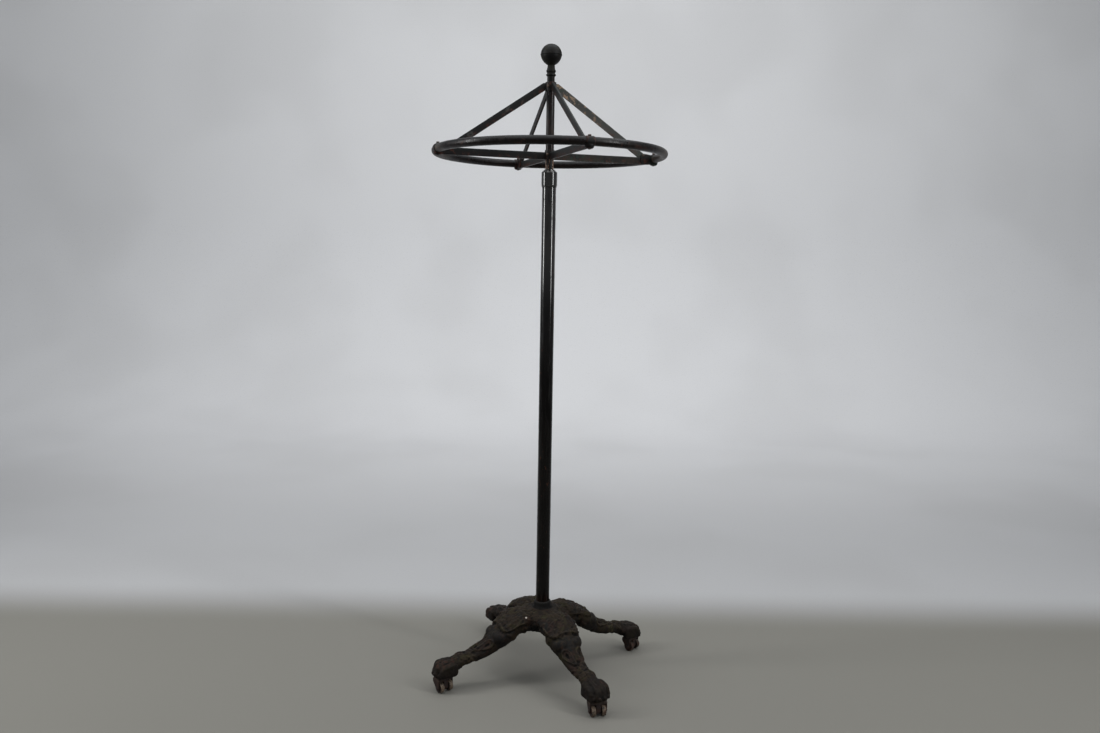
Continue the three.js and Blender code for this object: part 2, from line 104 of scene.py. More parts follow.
def carving(out, turn):
    """How far the carving stands above a leg's plain skin: out along the leg, turn from its top
    in degrees."""
    side = np.abs(turn)
    girth = np.interp(out, [100, 140, 170, 200, 225, 244], [42, 36, 28, 25, 20, 19]) * FULL / 360
    # the thigh swells towards the knee
    height = 6 * (ease(100, 146, out) - ease(150, 164, out)) * ease(130, 80, side)
    # towards the boss the legs sink into one plate, and the shins are stouter at their sides
    height -= 5 * ease(74, 48, out) * ease(105, 70, side)
    height += 2.6 * hump(out, 233, 17) * ease(35, 75, side) * ease(150, 120, side)
    # the leaf: two shallow scallops over the thigh, a rolled rim, and a lip along each flank
    scallop = 118.5 + 5.5 * hump(side, 40, 17) - 46 * ease(52, 100, side)
    inside = np.minimum(scallop - out, (np.interp(out, [62, 108], [86, 80]) - side) * girth)
    leaf = ease(-2.2, 2.2, inside)
    edge = ease(50, 84, out)
    rim = 1.5 * hump(inside, 3.4, 2.2) - 1.2 * hump(inside, -3, 2.4)
    height += 2.2 * leaf
    height += edge * rim
    height += 1.1 * np.cos(np.radians(turn * 9)) * ease(4, 12, inside) * ease(84, 106, out)
    # the hollowed flank under the leaf
    height -= 4 * (1 - leaf) * ease(126, 108, out) * ease(160, 120, side)
    # the knee: two smooth cushions with a groove between them
    swell = 1 - ((out - 141) / 15.5) ** 2 - ((side - 45) / 35) ** 2
    height -= 3.2 * ease(119, 126, out) * ease(160, 154, out)
    height += 7 * np.sqrt(np.maximum(swell, 0))
    # the mask: on each side a long drop with a rolled rim and a sunk eye
    ahead = out - 172
    across = (side - np.interp(out, [172, 216], [42, 24])) * girth
    width = 15.5 * np.clip(1 - ahead / 46, 0.02, 1) ** 0.75
    drop = np.where(ahead < 0, 15.5 - np.hypot(ahead, across), width - np.abs(across))
    height += 2.2 * ease(-1.2, 1.2, drop)
    height += 2.6 * hump(drop, 2.2, 1.6)
    height -= 2.4 * ease(4, 6, drop)
    height += 2.2 * hump(drop, 8.6, 1.6)
    height -= 3.4 * ease(10, 12.4, drop)
    # between them a nose, with a round mouth below
    height += 2.4 * hump(side, 0, 9) * ease(160, 172, out) * ease(196, 188, out)
    mouth = np.hypot((out - 203) / 1.25, side * girth)
    height += 2.4 * hump(mouth, 7.2, 1.8)
    height -= 2.2 * ease(5.2, 3.4, mouth)
    leafy = ease(212, 220, out) * ease(248, 240, out)
    height += 0.9 * leafy * np.cos(FULL * (out + 0.22 * side) / 13)
    # tufts round the heel
    height += 1.4 * hump(out, 251, 8)
    for angle in (-80, -40, 0, 40, 80):
        tuft = np.hypot((out - 252) / 6.2, (turn - angle) / 17)
        height += 3.2 * hump(tuft, 0, 1)
    # sinews that run back from the toes
    sinew = np.cos(FULL * np.sin(np.radians(turn)) * 30 / TOE_PITCH + math.pi)
    return height + 1.2 * sinew * ease(268, 286, out) * ease(100, 60, side)


def skin(rings, wrap=False):
    """Points and faces of a skin through rings of points, with a fan over each end unless the
    last ring joins the first."""
    rings = np.asarray(rings, float)
    count, around = rings.shape[:2]
    points = rings.reshape(-1, 3)
    faces = []
    for ring in range(count if wrap else count - 1):
        here, there = ring * around, (ring + 1) % count * around
        faces += [(here + i, here + (i + 1) % around, there + (i + 1) % around, there + i)
                  for i in range(around)]
    if not wrap:
        for ring, tip in ((0, len(points)), (count - 1, len(points) + 1)):
            faces += [(ring * around + i, ring * around + (i + 1) % around, tip)
                      for i in range(around)]
        points = np.concatenate([points, rings[[0, -1]].mean(axis=1)])
    return points, faces


def leg_skin(line, sides, steps, carved=False):
    """One leg, squarer at the thigh, or the core that hollows it, as rings along its line."""
    course = through(line, np.linspace(0, 1, steps))
    heading = np.gradient(course[:, :2], axis=0)
    heading /= np.linalg.norm(heading, axis=1)[:, None]
    turn = np.linspace(-180, 180, sides, endpoint=False)
    side, upper = np.sin(np.radians(turn)), np.cos(np.radians(turn))
    out, height, half, thick = (course[:, i:i + 1] for i in range(4))
    square = 0.92 - 0.3 * carved * ease(122, 84, out)
    side, upper = (np.sign(v) * np.abs(v) ** square for v in (side, upper))
    facing = np.stack([side / half, upper / thick])
    facing /= np.linalg.norm(facing, axis=0)
    proud = carving(out, turn[None, :]) if carved else 0
    across = side * half + facing[0] * proud
    lift = upper * thick + facing[1] * proud
    x = out - heading[:, 1:2] * lift
    z = height + heading[:, 0:1] * lift
    return skin(np.stack([x, across, z], axis=2))


def swung(a, b, angle):
    """Two coordinates turned by an angle, the first towards the second."""
    return a * math.cos(angle) - b * math.sin(angle), a * math.sin(angle) + b * math.cos(angle)


def blob(centre, radii, lean=0.0, squared=False, slope=0.0):
    """A closed egg, or one with squared ends. It leans nose down, in degrees, and its nose slopes
    back from its foot upwards."""
    fall = np.linspace(0.001, math.pi - 0.001, 22)[:, None]
    turn = np.linspace(0, FULL, 32, endpoint=False)
    points = np.stack([np.cos(fall) + 0 * turn, np.sin(fall) * np.cos(turn),
                       np.sin(fall) * np.sin(turn)], axis=2)
    if squared:
        points = points / ((points**4).sum(axis=2, keepdims=True)) ** 0.25
    points = points * radii
    z, x = swung(points[..., 2], points[..., 0], math.radians(lean))
    x = x - slope * (z + 0.4 * radii[2]) * ease(0, radii[0], x)
    return skin(np.stack([x, points[..., 1], z], axis=2) + centre)


def lathe(profile, around=72, wrap=None):
    """A profile of radius and height turned about Z. One that stays off the axis closes on
    itself."""
    profile = np.array(profile, float)
    wrap = profile[0, 0] > 0 if wrap is None else wrap
    turn = np.linspace(0, FULL, around, endpoint=False)
    rings = [np.stack([r * np.cos(turn), r * np.sin(turn), 0 * turn + z], axis=1)
             for r, z in profile]
    return skin(rings, wrap)


def saddle():
    """The dome under the boss, which swells towards each leg."""
    profile = np.array([
        (0, 132), (57, 132), (63, 137), (69, 145), (73, 153), (72, 160), (65, 166), (55, 171),
        (44, 176), (34, 180), (27, 184), (24.6, 189), (24, 196), (23.4, 202), (22.4, BOSS_TOP),
        (0, BOSS_TOP),
    ], float)
    smooth = through(profile, np.linspace(0, 1, 120))
    points, faces = lathe(smooth, 180, wrap=False)
    angle = np.arctan2(points[:, 1], points[:, 0])
    radius = np.hypot(points[:, 0], points[:, 1])
    towards = (0.5 + 0.5 * np.cos(4 * (angle - FIRST_LEG))) ** 1.5
    points[:, :2] *= (1 + 0.4 * towards * ease(30, 50, radius))[:, None]
    return points, faces


def swirls(points, pitch, seed):
    """Soft curling bumps over a surface, from -1 to 1, about pitch long."""
    chance = np.random.default_rng(seed)
    bent = points + 0.4 * pitch * np.sin(
        points[:, [1, 2, 0]] * FULL / (2.2 * pitch) + chance.uniform(0, FULL, 3))
    total = np.zeros(len(points))
    for _ in range(6):
        way = chance.normal(size=3)
        way *= FULL / pitch / np.linalg.norm(way)
        total += np.sin(bent @ way + chance.uniform(0, FULL))
    return np.tanh(0.6 * total)


def new_thing(name, data):
    thing = bpy.data.objects.new(name, data)
    bpy.context.scene.collection.objects.link(thing)
    return thing


def piece(name, *shells, merge=1e-5):
    """A mesh object from shells in millimetres, with doubles merged and faces outwards."""
    mesh = bpy.data.meshes.new(name)
    points = np.concatenate([p for p, _ in shells]) * MM
    faces, start = [], 0
    for shell_points, shell_faces in shells:
        faces += [tuple(start + i for i in face) for face in shell_faces]
        start += len(shell_points)
    mesh.from_pydata(points.tolist(), [], faces)
    body = bmesh.new()
    body.from_mesh(mesh)
    bmesh.ops.remove_doubles(body, verts=body.verts, dist=merge)
    bmesh.ops.dissolve_degenerate(body, edges=body.edges, dist=1e-7)
    bmesh.ops.recalc_face_normals(body, faces=body.faces)
    body.to_mesh(mesh)
    body.free()
    return new_thing(name, mesh)


def settle(thing):
    """Runs a thing's modifiers and keeps the result as a plain mesh."""
    graph = bpy.context.evaluated_depsgraph_get()
    mesh = bpy.data.meshes.new_from_object(
        thing.evaluated_get(graph), preserve_all_data_layers=True, depsgraph=graph)
    old = thing.data
    thing.modifiers.clear()
    thing.data = mesh
    bpy.data.meshes.remove(old)
    mesh.name = thing.name
    return thing


def fuse(thing, grid):
    """Remakes a thing's overlapping shells as one skin, on a grid in millimetres."""
    step = thing.modifiers.new("fuse", "REMESH")
    step.mode, step.voxel_size = "VOXEL", grid * MM
    return settle(thing)


def carve(thing, tool, how="DIFFERENCE"):
    """Cuts a tool out of a thing, or keeps what both share, and removes the tool."""
    step = thing.modifiers.new(how, "BOOLEAN")
    step.operation, step.solver, step.object = how, "MANIFOLD", tool
    settle(thing)
    bpy.data.objects.remove(tool)
    return thing


def drill(thing, radius, low, high, sides, **spot):
    """Cuts a round hole, upright before it is put in its spot."""
    tool = piece("drill", lathe([(0, low), (radius, low), (radius, high), (0, high)], sides))
    return carve(thing, turned_about(tool, 0, **spot))


def at_pin(way):
    """The spot of the pin that stands that way from the pole."""
    return {"x": PIN_CIRCLE * math.cos(way), "y": PIN_CIRCLE * math.sin(way)}


def absorb(thing, other):
    """Takes another thing's mesh into a thing, and removes the other."""
    body = bmesh.new()
    body.from_mesh(thing.data)
    body.from_mesh(other.data)
    body.to_mesh(thing.data)
    body.free()
    bpy.data.objects.remove(other)


def rows(parts, what, width, kind=float):
    """What a mesh's points or edges hold, as one row of numbers for each."""
    values = np.empty(len(parts) * width, kind)
    parts.foreach_get(what, values)
    return values.reshape(-1, width)


def mesh_arrays(mesh):
    return rows(mesh.vertices, "co", 3), rows(mesh.edges, "vertices", 2, int)


def move_points(mesh, points):
    mesh.vertices.foreach_set("co", points.ravel())
    mesh.update()


def turned_about(thing, angle, x=0.0, y=0.0, z=0.0, tilt=0.0):
    """Tilts a thing's mesh about X, turns it about Z and moves it, in millimetres."""
    a, b, c = rows(thing.data.vertices, "co", 3).T
    b, c = swung(b, c, tilt)
    a, b = swung(a, b, angle)
    move_points(thing.data, np.stack([a + x * MM, b + y * MM, c + z * MM], axis=1))
    return thing


def make_node(tree, kind, settings, sockets):
    """A node of a tree, with its settings and then its sockets' values or links."""
    node = tree.nodes.new(kind)
    for key, setting in settings.items():
        setattr(node, key, setting)
    for key, value in sockets.items():
        if isinstance(value, bpy.types.NodeSocket):
            tree.links.new(value, node.inputs[key])
        else:
            node.inputs[key].default_value = value
    return node


def new_tree(name, inputs, build):
    """A Geometry Nodes tree with named inputs. Build makes its nodes: it gets a maker of nodes,
    which returns the first output, and the inputs. Its result is made real and takes the
    material."""
    tree = bpy.data.node_groups.new(name, "GeometryNodeTree")
    for label, kind in (*inputs, ("Finish", "Material")):
        tree.interface.new_socket(label, in_out="INPUT", socket_type="NodeSocket" + kind)
    tree.interface.new_socket("Result", in_out="OUTPUT", socket_type="NodeSocketGeometry")

    def grow(*node):
        return make_node(tree, *node).outputs[0]

    given = tree.nodes.new("NodeGroupInput").outputs
    real = grow("GeometryNodeRealizeInstances", {}, {"Geometry": build(grow, given)})
    finished = grow("GeometryNodeSetMaterial", {}, {"Geometry": real, "Material": given["Finish"]})
    make_node(tree, "NodeGroupOutput", {}, {"Result": finished})
    return tree


def quarter_turns(grow, given):
    """Copies of a piece turned about the pole's axis. Each carries its number, from 1 up."""
    index = grow("GeometryNodeInputIndex", {}, {})
    step = grow("ShaderNodeMath", {"operation": "DIVIDE"}, {0: FULL, 1: given["Count"]})
    angle = grow("ShaderNodeMath", {"operation": "MULTIPLY_ADD"},
                 {0: index, 1: step, 2: given["First angle"]})
    spin = grow("ShaderNodeCombineXYZ", {}, {"Z": angle})
    turn = grow("FunctionNodeEulerToRotation", {}, {"Euler": spin})
    spots = grow("GeometryNodePoints", {}, {"Count": given["Count"]})
    copies = grow("GeometryNodeInstanceOnPoints", {},
                  {"Points": spots, "Instance": given["Piece"], "Rotation": turn})
    number = grow("ShaderNodeMath", {"operation": "ADD"}, {0: index, 1: 1.0})
    return grow("GeometryNodeStoreNamedAttribute", {"data_type": "FLOAT", "domain": "INSTANCE"},
                {"Geometry": copies, "Name": "number", "Value": number})


def grown(thing, tree, values):
    """Runs a Geometry Nodes tree on a thing and keeps the result as a plain mesh."""
    step = thing.modifiers.new(tree.name, "NODES")
    step.node_group = tree
    for item in tree.interface.items_tree:
        if item.in_out == "INPUT" and item.name in values:
            step[item.identifier] = values[item.name]
    return settle(thing)


def four_of(thing, first_angle, finish):
    """A piece and its three copies round the pole's axis, with their finish."""
    return grown(thing, QUARTERS, {"First angle": first_angle, "Count": 4, "Finish": finish})


def shade(red, green, blue):
    """A colour as seen, from 0 to 255, as the light that it sends back."""
    light = [v / 255 / 12.92 if v <= 10 else ((v / 255 + 0.055) / 1.055) ** 2.4
             for v in (red, green, blue)]
    return (*light, 1.0)


class Paint:
    """A socket in a material's nodes. Sums of paints add Math nodes, and add() any other node."""

    def __init__(self, tree, socket):
        self.tree, self.socket = tree, socket

    def add(self, kind, settings, sockets, output=0):
        sockets = {key: value.socket if isinstance(value, Paint) else value
                   for key, value in sockets.items()}
        node = make_node(self.tree, "ShaderNode" + kind, settings, sockets)
        return Paint(self.tree, node.outputs[output])

    def sum(self, how, *values):
        return self.add("Math", {"operation": how}, dict(enumerate(values)))

    def __add__(self, other):
        return self.sum("ADD", self, other)

    def __sub__(self, other):
        return self.sum("SUBTRACT", self, other)

    def __rsub__(self, other):
        return self.sum("SUBTRACT", other, self)

    def __mul__(self, other):
        return self.sum("MULTIPLY", self, other)

    __radd__, __rmul__ = __add__, __mul__

    def size(self):
        return self.sum("ABSOLUTE", self)

    def step(self, low, high):
        """0 at low, 1 at high, and a soft step between them. High may be the smaller."""
        return self.add("MapRange", {"interpolation_type": "SMOOTHSTEP"},
                        {"Value": self, "From Min": low, "From Max": high})

    def between(self, low, high):
        """A colour that goes from low to high as this value goes from 0 to 1."""
        return self.add("Mix", {"data_type": "RGBA"}, {0: self, 6: low, 7: high}, 2)

    def tint(self, red, green, blue, share):
        """This colour with another one laid over it, as far as share says."""
        return share.between(self, shade(red, green, blue))

    def drawn(self, z):
        """The place squeezed along Z, so that marks run long."""
        return self.add("Mapping", {}, {"Vector": self, "Scale": (1, 1, z)})

    def noise(self, scale, detail, rough, swirl=0.0):
        return self.add("TexNoise", {}, {
            "Vector": self, "Scale": scale, "Detail": detail, "Roughness": rough,
            "Distortion": swirl})

    def cells(self, scale):
        return self.add("TexVoronoi", {}, {"Vector": self, "Scale": scale})

    def part(self, axis):
        return self.add("SeparateXYZ", {}, {"Vector": self}, axis)

    def from_axis(self):
        """How far a place is from the pole's axis."""
        return self.add("VectorMath", {"operation": "LENGTH"}, {0: self.drawn(0)}, 1)


def new_finish(name):
    """An empty material, and the place on the piece as the first socket of its nodes."""
    finish = bpy.data.materials.new(name)
    finish.use_nodes = True
    tree = finish.node_tree
    tree.nodes.clear()
    place = tree.nodes.new("ShaderNodeTexCoord").outputs["Object"]
    return finish, Paint(tree, place)


def own(place, name):
    """A value that the mesh carries at each of its points."""
    return place.add("Attribute", {"attribute_name": name}, {}, "Fac")


def lay(place, colour, rough, height, depth, shine=0.5, **constant):
    """Ends a material: one shader with its bump, height from 0 to 1 being depth millimetres."""
    bump = place.add("Bump", {}, {"Height": height, "Distance": depth * MM, "Strength": 1.0})
    values = {"Base Color": colour, "Roughness": rough, "Specular IOR Level": shine,
              "Normal": bump}
    values.update({key.replace("_", " "): value for key, value in constant.items()})
    shader = place.add("BsdfPrincipled", {}, values)
    end = place.tree.nodes.new("ShaderNodeOutputMaterial")
    place.tree.links.new(shader.socket, end.inputs["Surface"])


def smooth_points(points, links, times):
    """Points moved to the middle of their neighbours, some times over."""
    count = np.bincount(links.ravel(), minlength=len(points))[:, None]
    for _ in range(times):
        total = np.zeros_like(points)
        for axis in range(3):
            total[:, axis] = (
                np.bincount(links[:, 0], points[links[:, 1], axis], len(points))
                + np.bincount(links[:, 1], points[links[:, 0], axis], len(points)))
        points = 0.5 * points + 0.5 * total / np.maximum(count, 1)
    return points


def carry(mesh, label, value):
    """Gives each point of a mesh a value of its own."""
    mesh.attributes.new(label, "FLOAT", "POINT").data.foreach_set(
        "value", value.astype(np.float32))


def mark_ridges(thing, near, far):
    """Gives each point of a mesh how far it stands out of its surroundings, in millimetres."""
    mesh = thing.data
    points, links = mesh_arrays(mesh)
    normals = rows(mesh.vertices, "normal", 3)
    for label, times in (("ridge", near), ("crown", far)):
        proud = ((points - smooth_points(points, links, times)) * normals).sum(axis=1) / MM
        carry(mesh, label, proud)


def finish_piece(thing, body, material_slot, *nodes, finish=None, crease=40):
    """Shades a finished piece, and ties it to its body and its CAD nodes."""
    if finish is not None:
        thing.data.materials.clear()
        thing.data.materials.append(finish)
    thing.data.shade_smooth()
    thing.data.set_sharp_from_angle(angle=math.radians(crease))
    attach(thing, body)
    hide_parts(*nodes)


iron, place = new_finish("blackened_cast_iron")
patches = place.noise(17, 4, 0.6, 0.4)
blotches = place.noise(46, 5, 0.62, 0.8)
streaks = place.noise(120, 4, 0.6)
grain = place.noise(620, 5, 0.7)
pits = place.cells(330)
ridge, crown, along = own(place, "ridge"), own(place, "crown"), own(place, "along")
out, high = place.from_axis(), place.part(2)
colour = patches.step(0.4, 0.6).between(shade(20, 16, 12), shade(33, 25, 17))
colour = colour.tint(36, 34, 17, blotches.step(0.5, 0.62) * 0.7)
colour = colour.tint(36, 20, 17, patches.step(0.50, 0.38) * blotches.step(0.4, 0.56) * 0.65)
colour = colour.tint(16, 18, 19, blotches.step(0.46, 0.36) * 0.6)
colour = colour.tint(60, 34, 22, streaks.step(0.58, 0.74) * blotches.step(0.46, 0.6) * 0.6)
colour = colour.tint(56, 48, 35, ridge.step(0.1, 0.6) * streaks.step(0.4, 0.62) * 0.5)
colour = colour.tint(44, 38, 28, crown.step(0.5, 2.2) * grain.step(0.35, 0.7) * 0.3)
# the knees and the boss are dark and blue; the rim under the saddle has painted shade, dark blue
knee = along.step(0.123, 0.130) * along.step(0.162, 0.155)
colour = colour.tint(10, 10, 11, knee * streaks.step(0.75, 0.35) * 0.85)
rim = out.step(0.088, 0.074) * high.step(0.157, 0.147)
boss = out.step(0.031, 0.026) * high.step(0.182, 0.188)
colour = colour.tint(12, 14, 16, rim * 0.85 + boss * 0.8)
# the paws are darker, with a red bloom
paw = along.step(0.252, 0.276)
colour = colour.tint(16, 12, 10, paw * 0.65)
colour = colour.tint(62, 33, 22, paw * patches.step(0.5, 0.64) * streaks.step(0.4, 0.6) * 0.5)
colour = colour.tint(215, 208, 196, own(place, "chip"))
hollow = ridge.step(-0.05, -0.42)
colour = colour.tint(9, 7, 6, (hollow * 0.75 + crown.step(-0.4, -2.6) * 0.5) * 0.9)
rough = 0.66 + 0.2 * grain - 0.12 * ridge.step(0.05, 0.5) - 0.1 * knee + 0.12 * hollow
height = grain * 0.5 + streaks * 0.5 + pits.step(0.0, 0.35) * 0.35
lay(place, colour, rough, height, 0.5, shine=0.15)

leg_parts = [leg_skin(LEG_LINE, 132, 250, carved=True)]
for toe in (-1.5, -0.5, 0.5, 1.5):
    back = 8 if abs(toe) > 1 else 0
    leg_parts.append(blob((PIN_CIRCLE - back, toe * TOE_PITCH, 60.5), (27.5, 11.2, 19.5), 4,
                          squared=True, slope=0.3))
    leg_parts.append(blob((330 - back, toe * TOE_PITCH, 52.5), (4.6, 4.6, 6), 14))
casting = piece("cast_base", *leg_parts)
QUARTERS = new_tree("quarter_turns", [
    ("Piece", "Geometry"), ("First angle", "Float"), ("Count", "Int")], quarter_turns)
four_of(casting, FIRST_LEG, iron)
absorb(casting, piece("middle", saddle()))
for quarter in range(4):
    web = piece("web", blob((44, 0, 156.5), (30, 34, 17), 13, squared=True))
    absorb(casting, turned_about(web, FIRST_LEG + (quarter + 0.5) * QUARTER))
fuse(casting, FINE_GRID)
points, links = mesh_arrays(casting.data)
points = smooth_points(points, links, 1)
# round the boss the skin flows softly, most of all between two legs
flow = smooth_points(points, links, 80)
reach = np.hypot(points[:, 0], points[:, 1]) / MM
fold = np.arctan2(points[:, 1], points[:, 0]) - FIRST_LEG + QUARTER / 2
fold = fold % QUARTER - QUARTER / 2
soft = ease(104, 84, reach) * ease(28, 38, reach) * ease(0.152, 0.164, points[:, 2])
soft *= 0.2 + 0.8 * ease(0.2, 0.5, np.abs(fold))
points = (points + (flow - points) * soft[:, None]) / MM
course = through(LEG_LINE, np.linspace(0, 1, 90)).astype(np.float32)
gap = np.hypot((reach * np.cos(fold))[:, None] - course[:, 0], points[:, 2:] - course[:, 1])
along = course[gap.argmin(axis=1), 0]
# the sand's rough relief is slight on the boss, the knees and the shins, and half on the paws
depth = 0.2 + 0.8 * ease(30, 46, reach)
depth *= 1 - 0.75 * ease(122, 130, along) * ease(214, 204, along)
depth *= 1 - 0.5 * ease(250, 276, along)
relief = 1.3 * swirls(points, 26, 3) + 0.8 * (1 - 2 * np.abs(swirls(points, 40, 8)))
relief += 0.55 * swirls(points, 13, 5)
points += rows(casting.data.vertices, "normal", 3) * (depth * relief)[:, None]
move_points(casting.data, points * MM)
# the finish finds on the points how proud they are, where along a leg, and if in the chip
mark_ridges(casting, 5, 40)
nick = np.linalg.norm(points - CHIP, axis=1)
carry(casting.data, "along", along * MM)
carry(casting.data, "chip", ease(4.4, 3.0, nick))
carve(casting, piece("hollow", lathe(
    [(0, 90), (43, 90), (43, 148), (37, HUB_CEILING), (0, HUB_CEILING)], 96)))
drill(casting, BORE, 120, 220, 96)
for way in PINS:
    carve(casting, turned_about(piece("core", leg_skin(CORE_LINE, 32, 40)), way))
    drill(casting, PIN_RADIUS + GAP, 40, PIN_TOP + 1, 40, **at_pin(way))
carve(casting, piece("soles", lathe(
    [(262, 20), (400, 20), (400, PAW_SOLE), (262, PAW_SOLE)], 128)))
finish_piece(casting, "base_frame", "cast_iron", "base_casting", finish=iron, crease=50)

# ---------------- pole
# A drawn steel tube, 38 mm across, that stands in the base's boss. It is painted gloss black, and
# the paint is scratched lengthwise, polished where hands held it and brown where it wore thin.

POLE_BORE = 15.5
POLE_FOOT, POLE_TOP = 132, 1389


def rounded(profile, radius, loop=None):
    """A profile of radius and height with its corners rounded."""
    profile = [np.array(p, float) for p in profile]
    loop = profile[0][0] > 0 if loop is None else loop
    out = []
    for i, corner in enumerate(profile):
        if not loop and i in (0, len(profile) - 1):
            out.append(corner)
            continue
        ways = [profile[j] - corner for j in (i - 1, (i + 1) % len(profile))]
        reach = min(radius, *(0.45 * np.linalg.norm(way) for way in ways))
        start, end = (corner + way / np.linalg.norm(way) * reach for way in ways)
        for t in np.linspace(0, 1, 4):
            out.append((1 - t) ** 2 * start + 2 * t * (1 - t) * corner + t * t * end)
    return out


def tube(name, bore, radius, low, high, corner, around):
    """A plain tube or ring with rounded edges."""
    return piece(name, lathe(rounded(
        [(bore, low), (radius, low), (radius, high), (bore, high)], corner), around))


def black_paint(name, worn_low, worn_high):
    """Old gloss black on steel. From one height in metres to the other it goes from dull to
    polished by hands."""
    finish, place = new_finish(name)
    long_marks = place.drawn(0.035).noise(210, 4, 0.6)
    scuffs = place.drawn(0.16).noise(90, 5, 0.65, 0.6)
    clouds = place.drawn(0.4).noise(22, 4, 0.55)
    grain = place.noise(900, 3, 0.6)
    chips = place.drawn(0.3).noise(160, 3, 0.7)
    high = place.part(2)
    held = high.step(worn_low, worn_high)
    colour = clouds.step(0.35, 0.65).between(shade(7, 6, 6), shade(13, 11, 10))
    colour = colour.tint(66, 56, 51, long_marks.step(0.54, 0.72) * scuffs.step(0.44, 0.62)
                         * (0.08 + 0.5 * held))
    colour = colour.tint(84, 52, 38, chips.step(0.62, 0.69) * clouds.step(0.5, 0.62) * 0.7)
    colour = colour.tint(128, 120, 114, chips.step(0.715, 0.75) * (0.2 + 0.5 * held))
    colour = colour.tint(44, 28, 21, high.step(0.236, 0.212) * scuffs.step(0.36, 0.5) * 0.4)
    rough = 0.16 + 0.2 * scuffs.step(0.42, 0.72) + 0.1 * long_marks.step(0.45, 0.7)
    height = long_marks * 0.5 + scuffs * 0.3 + grain * 0.2 - chips.step(0.6, 0.68) * 0.25
    polish = held * scuffs.step(0.74, 0.5)
    lay(place, colour, rough, height, 0.05, shine=0.2, Coat_Weight=polish, Coat_Roughness=0.07)
    return finish


pole_paint = black_paint("scratched_black_paint", 1.0, 1.2)
pole = tube("pole_tube", POLE_BORE, POLE_RADIUS, POLE_FOOT, POLE_TOP, 0.8, 96)
finish_piece(pole, "base_frame", "black_paint", "pole", finish=pole_paint)

# ---------------- washer and lock nut
# Pressed steel washer and hexagon lock nut inside the base's hollow hub. They pull the pole down
# on the casting, and have rusted there.


def rusty_steel(name, bare, size):
    """Bare steel gone brown. Bare is its clean colour, and size how many patches to a metre."""
    finish, place = new_finish(name)
    patch = place.noise(size, 5, 0.62, 0.5)
    speck = place.noise(size * 7, 4, 0.65)
    grain = place.noise(1400, 3, 0.6)
    colour = patch.step(0.34, 0.66).between(bare, shade(66, 42, 31))
    colour = colour.tint(104, 66, 42, speck.step(0.56, 0.7) * patch.step(0.4, 0.6) * 0.8)
    colour = colour.tint(26, 21, 19, speck.step(0.42, 0.3) * 0.7)
    rough = 0.45 + 0.35 * patch.step(0.3, 0.7)
    lay(place, colour, rough, speck * 0.7 + grain * 0.3, 0.18, Metallic=0.5)
    return finish


hub_rust = rusty_steel("rusty_fixings", shade(62, 56, 50), 70)
WASHER_TOP = HUB_CEILING - GAP
washer = tube("hub_washer", BORE, 30, WASHER_TOP - 3, WASHER_TOP, 0.5, 72)
finish_piece(washer, "base_frame", "rusty_iron", "pole_washer", finish=hub_rust)

# a nut: six flats with turned-off corners, and its hole
NUT_FOOT, NUT_TOP, CORNERS = 139, 152.4, 29
nut = piece("hub_lock_nut", lathe([
    (0, NUT_FOOT), (CORNERS, NUT_FOOT), (CORNERS, NUT_TOP), (0, NUT_TOP)], 6))
carve(nut, piece("trim", lathe([
    (0, NUT_FOOT), (CORNERS * 0.93, NUT_FOOT), (CORNERS * 1.02, NUT_FOOT + 2.4),
    (CORNERS * 1.02, NUT_TOP), (0, NUT_TOP)], 72)), "INTERSECT")
drill(nut, BORE, NUT_FOOT - 5, NUT_TOP + 5, 72)
finish_piece(nut, "base_frame", "rusty_iron", "pole_lock_nut", finish=hub_rust, crease=30)

# ---------------- ferrule and bearing
# A turned steel cap on the pole's top. It has a small bead at its foot, and a cone above that
# closes on the stem. The bearing cup is pressed in the pole under it, and the stem turns in that.

FERRULE_FOOT, FERRULE_TOP = 1361, 1409
STEM_RADIUS, STEM_BORE, STEM_FOOT = 11, 8.5, 1236
STEM_HOLE = STEM_RADIUS + GAP

ferrule_paint = black_paint("rubbed_ferrule_paint", 1.2, 1.36)
ferrule = piece("ferrule_cap", lathe(rounded([
    (BORE, FERRULE_FOOT), (20.4, FERRULE_FOOT), (20.9, FERRULE_FOOT + 2.6),
    (20.5, FERRULE_FOOT + 3.4), (21.3, FERRULE_FOOT + 4.4), (21.3, 1399.2), (20.6, 1401.4),
    (13.4, 1408.4), (12.6, FERRULE_TOP), (STEM_HOLE, FERRULE_TOP),
    (STEM_HOLE, POLE_TOP + GAP), (BORE, POLE_TOP + GAP)], 0.5), 96))
finish_piece(ferrule, "base_frame", "black_paint", "pole_ferrule", finish=ferrule_paint)

CUP_FOOT, CUP_TOP, SPIGOT_TOP = 1222, 1270, 1252
cup = piece("stem_cup", lathe(rounded([
    (0, CUP_FOOT), (POLE_BORE - GAP, CUP_FOOT), (POLE_BORE - GAP, CUP_TOP),
    (STEM_HOLE, CUP_TOP), (STEM_HOLE, STEM_FOOT - GAP), (STEM_BORE - GAP, STEM_FOOT - GAP),
    (STEM_BORE - GAP, SPIGOT_TOP), (0, SPIGOT_TOP)], 0.4), 72))
bearing_steel = rusty_steel("oiled_bearing_steel", shade(120, 114, 104), 50)
finish_piece(cup, "base_frame", "bare_steel", "stem_bearing", finish=bearing_steel)

# ---------------- stem
# A steel tube, 22 mm across, that carries the ring's arms and turns in the pole. It was painted,
# and is rusty and scraped where it comes out of the ferrule.

STEM_TOP = 1638.5

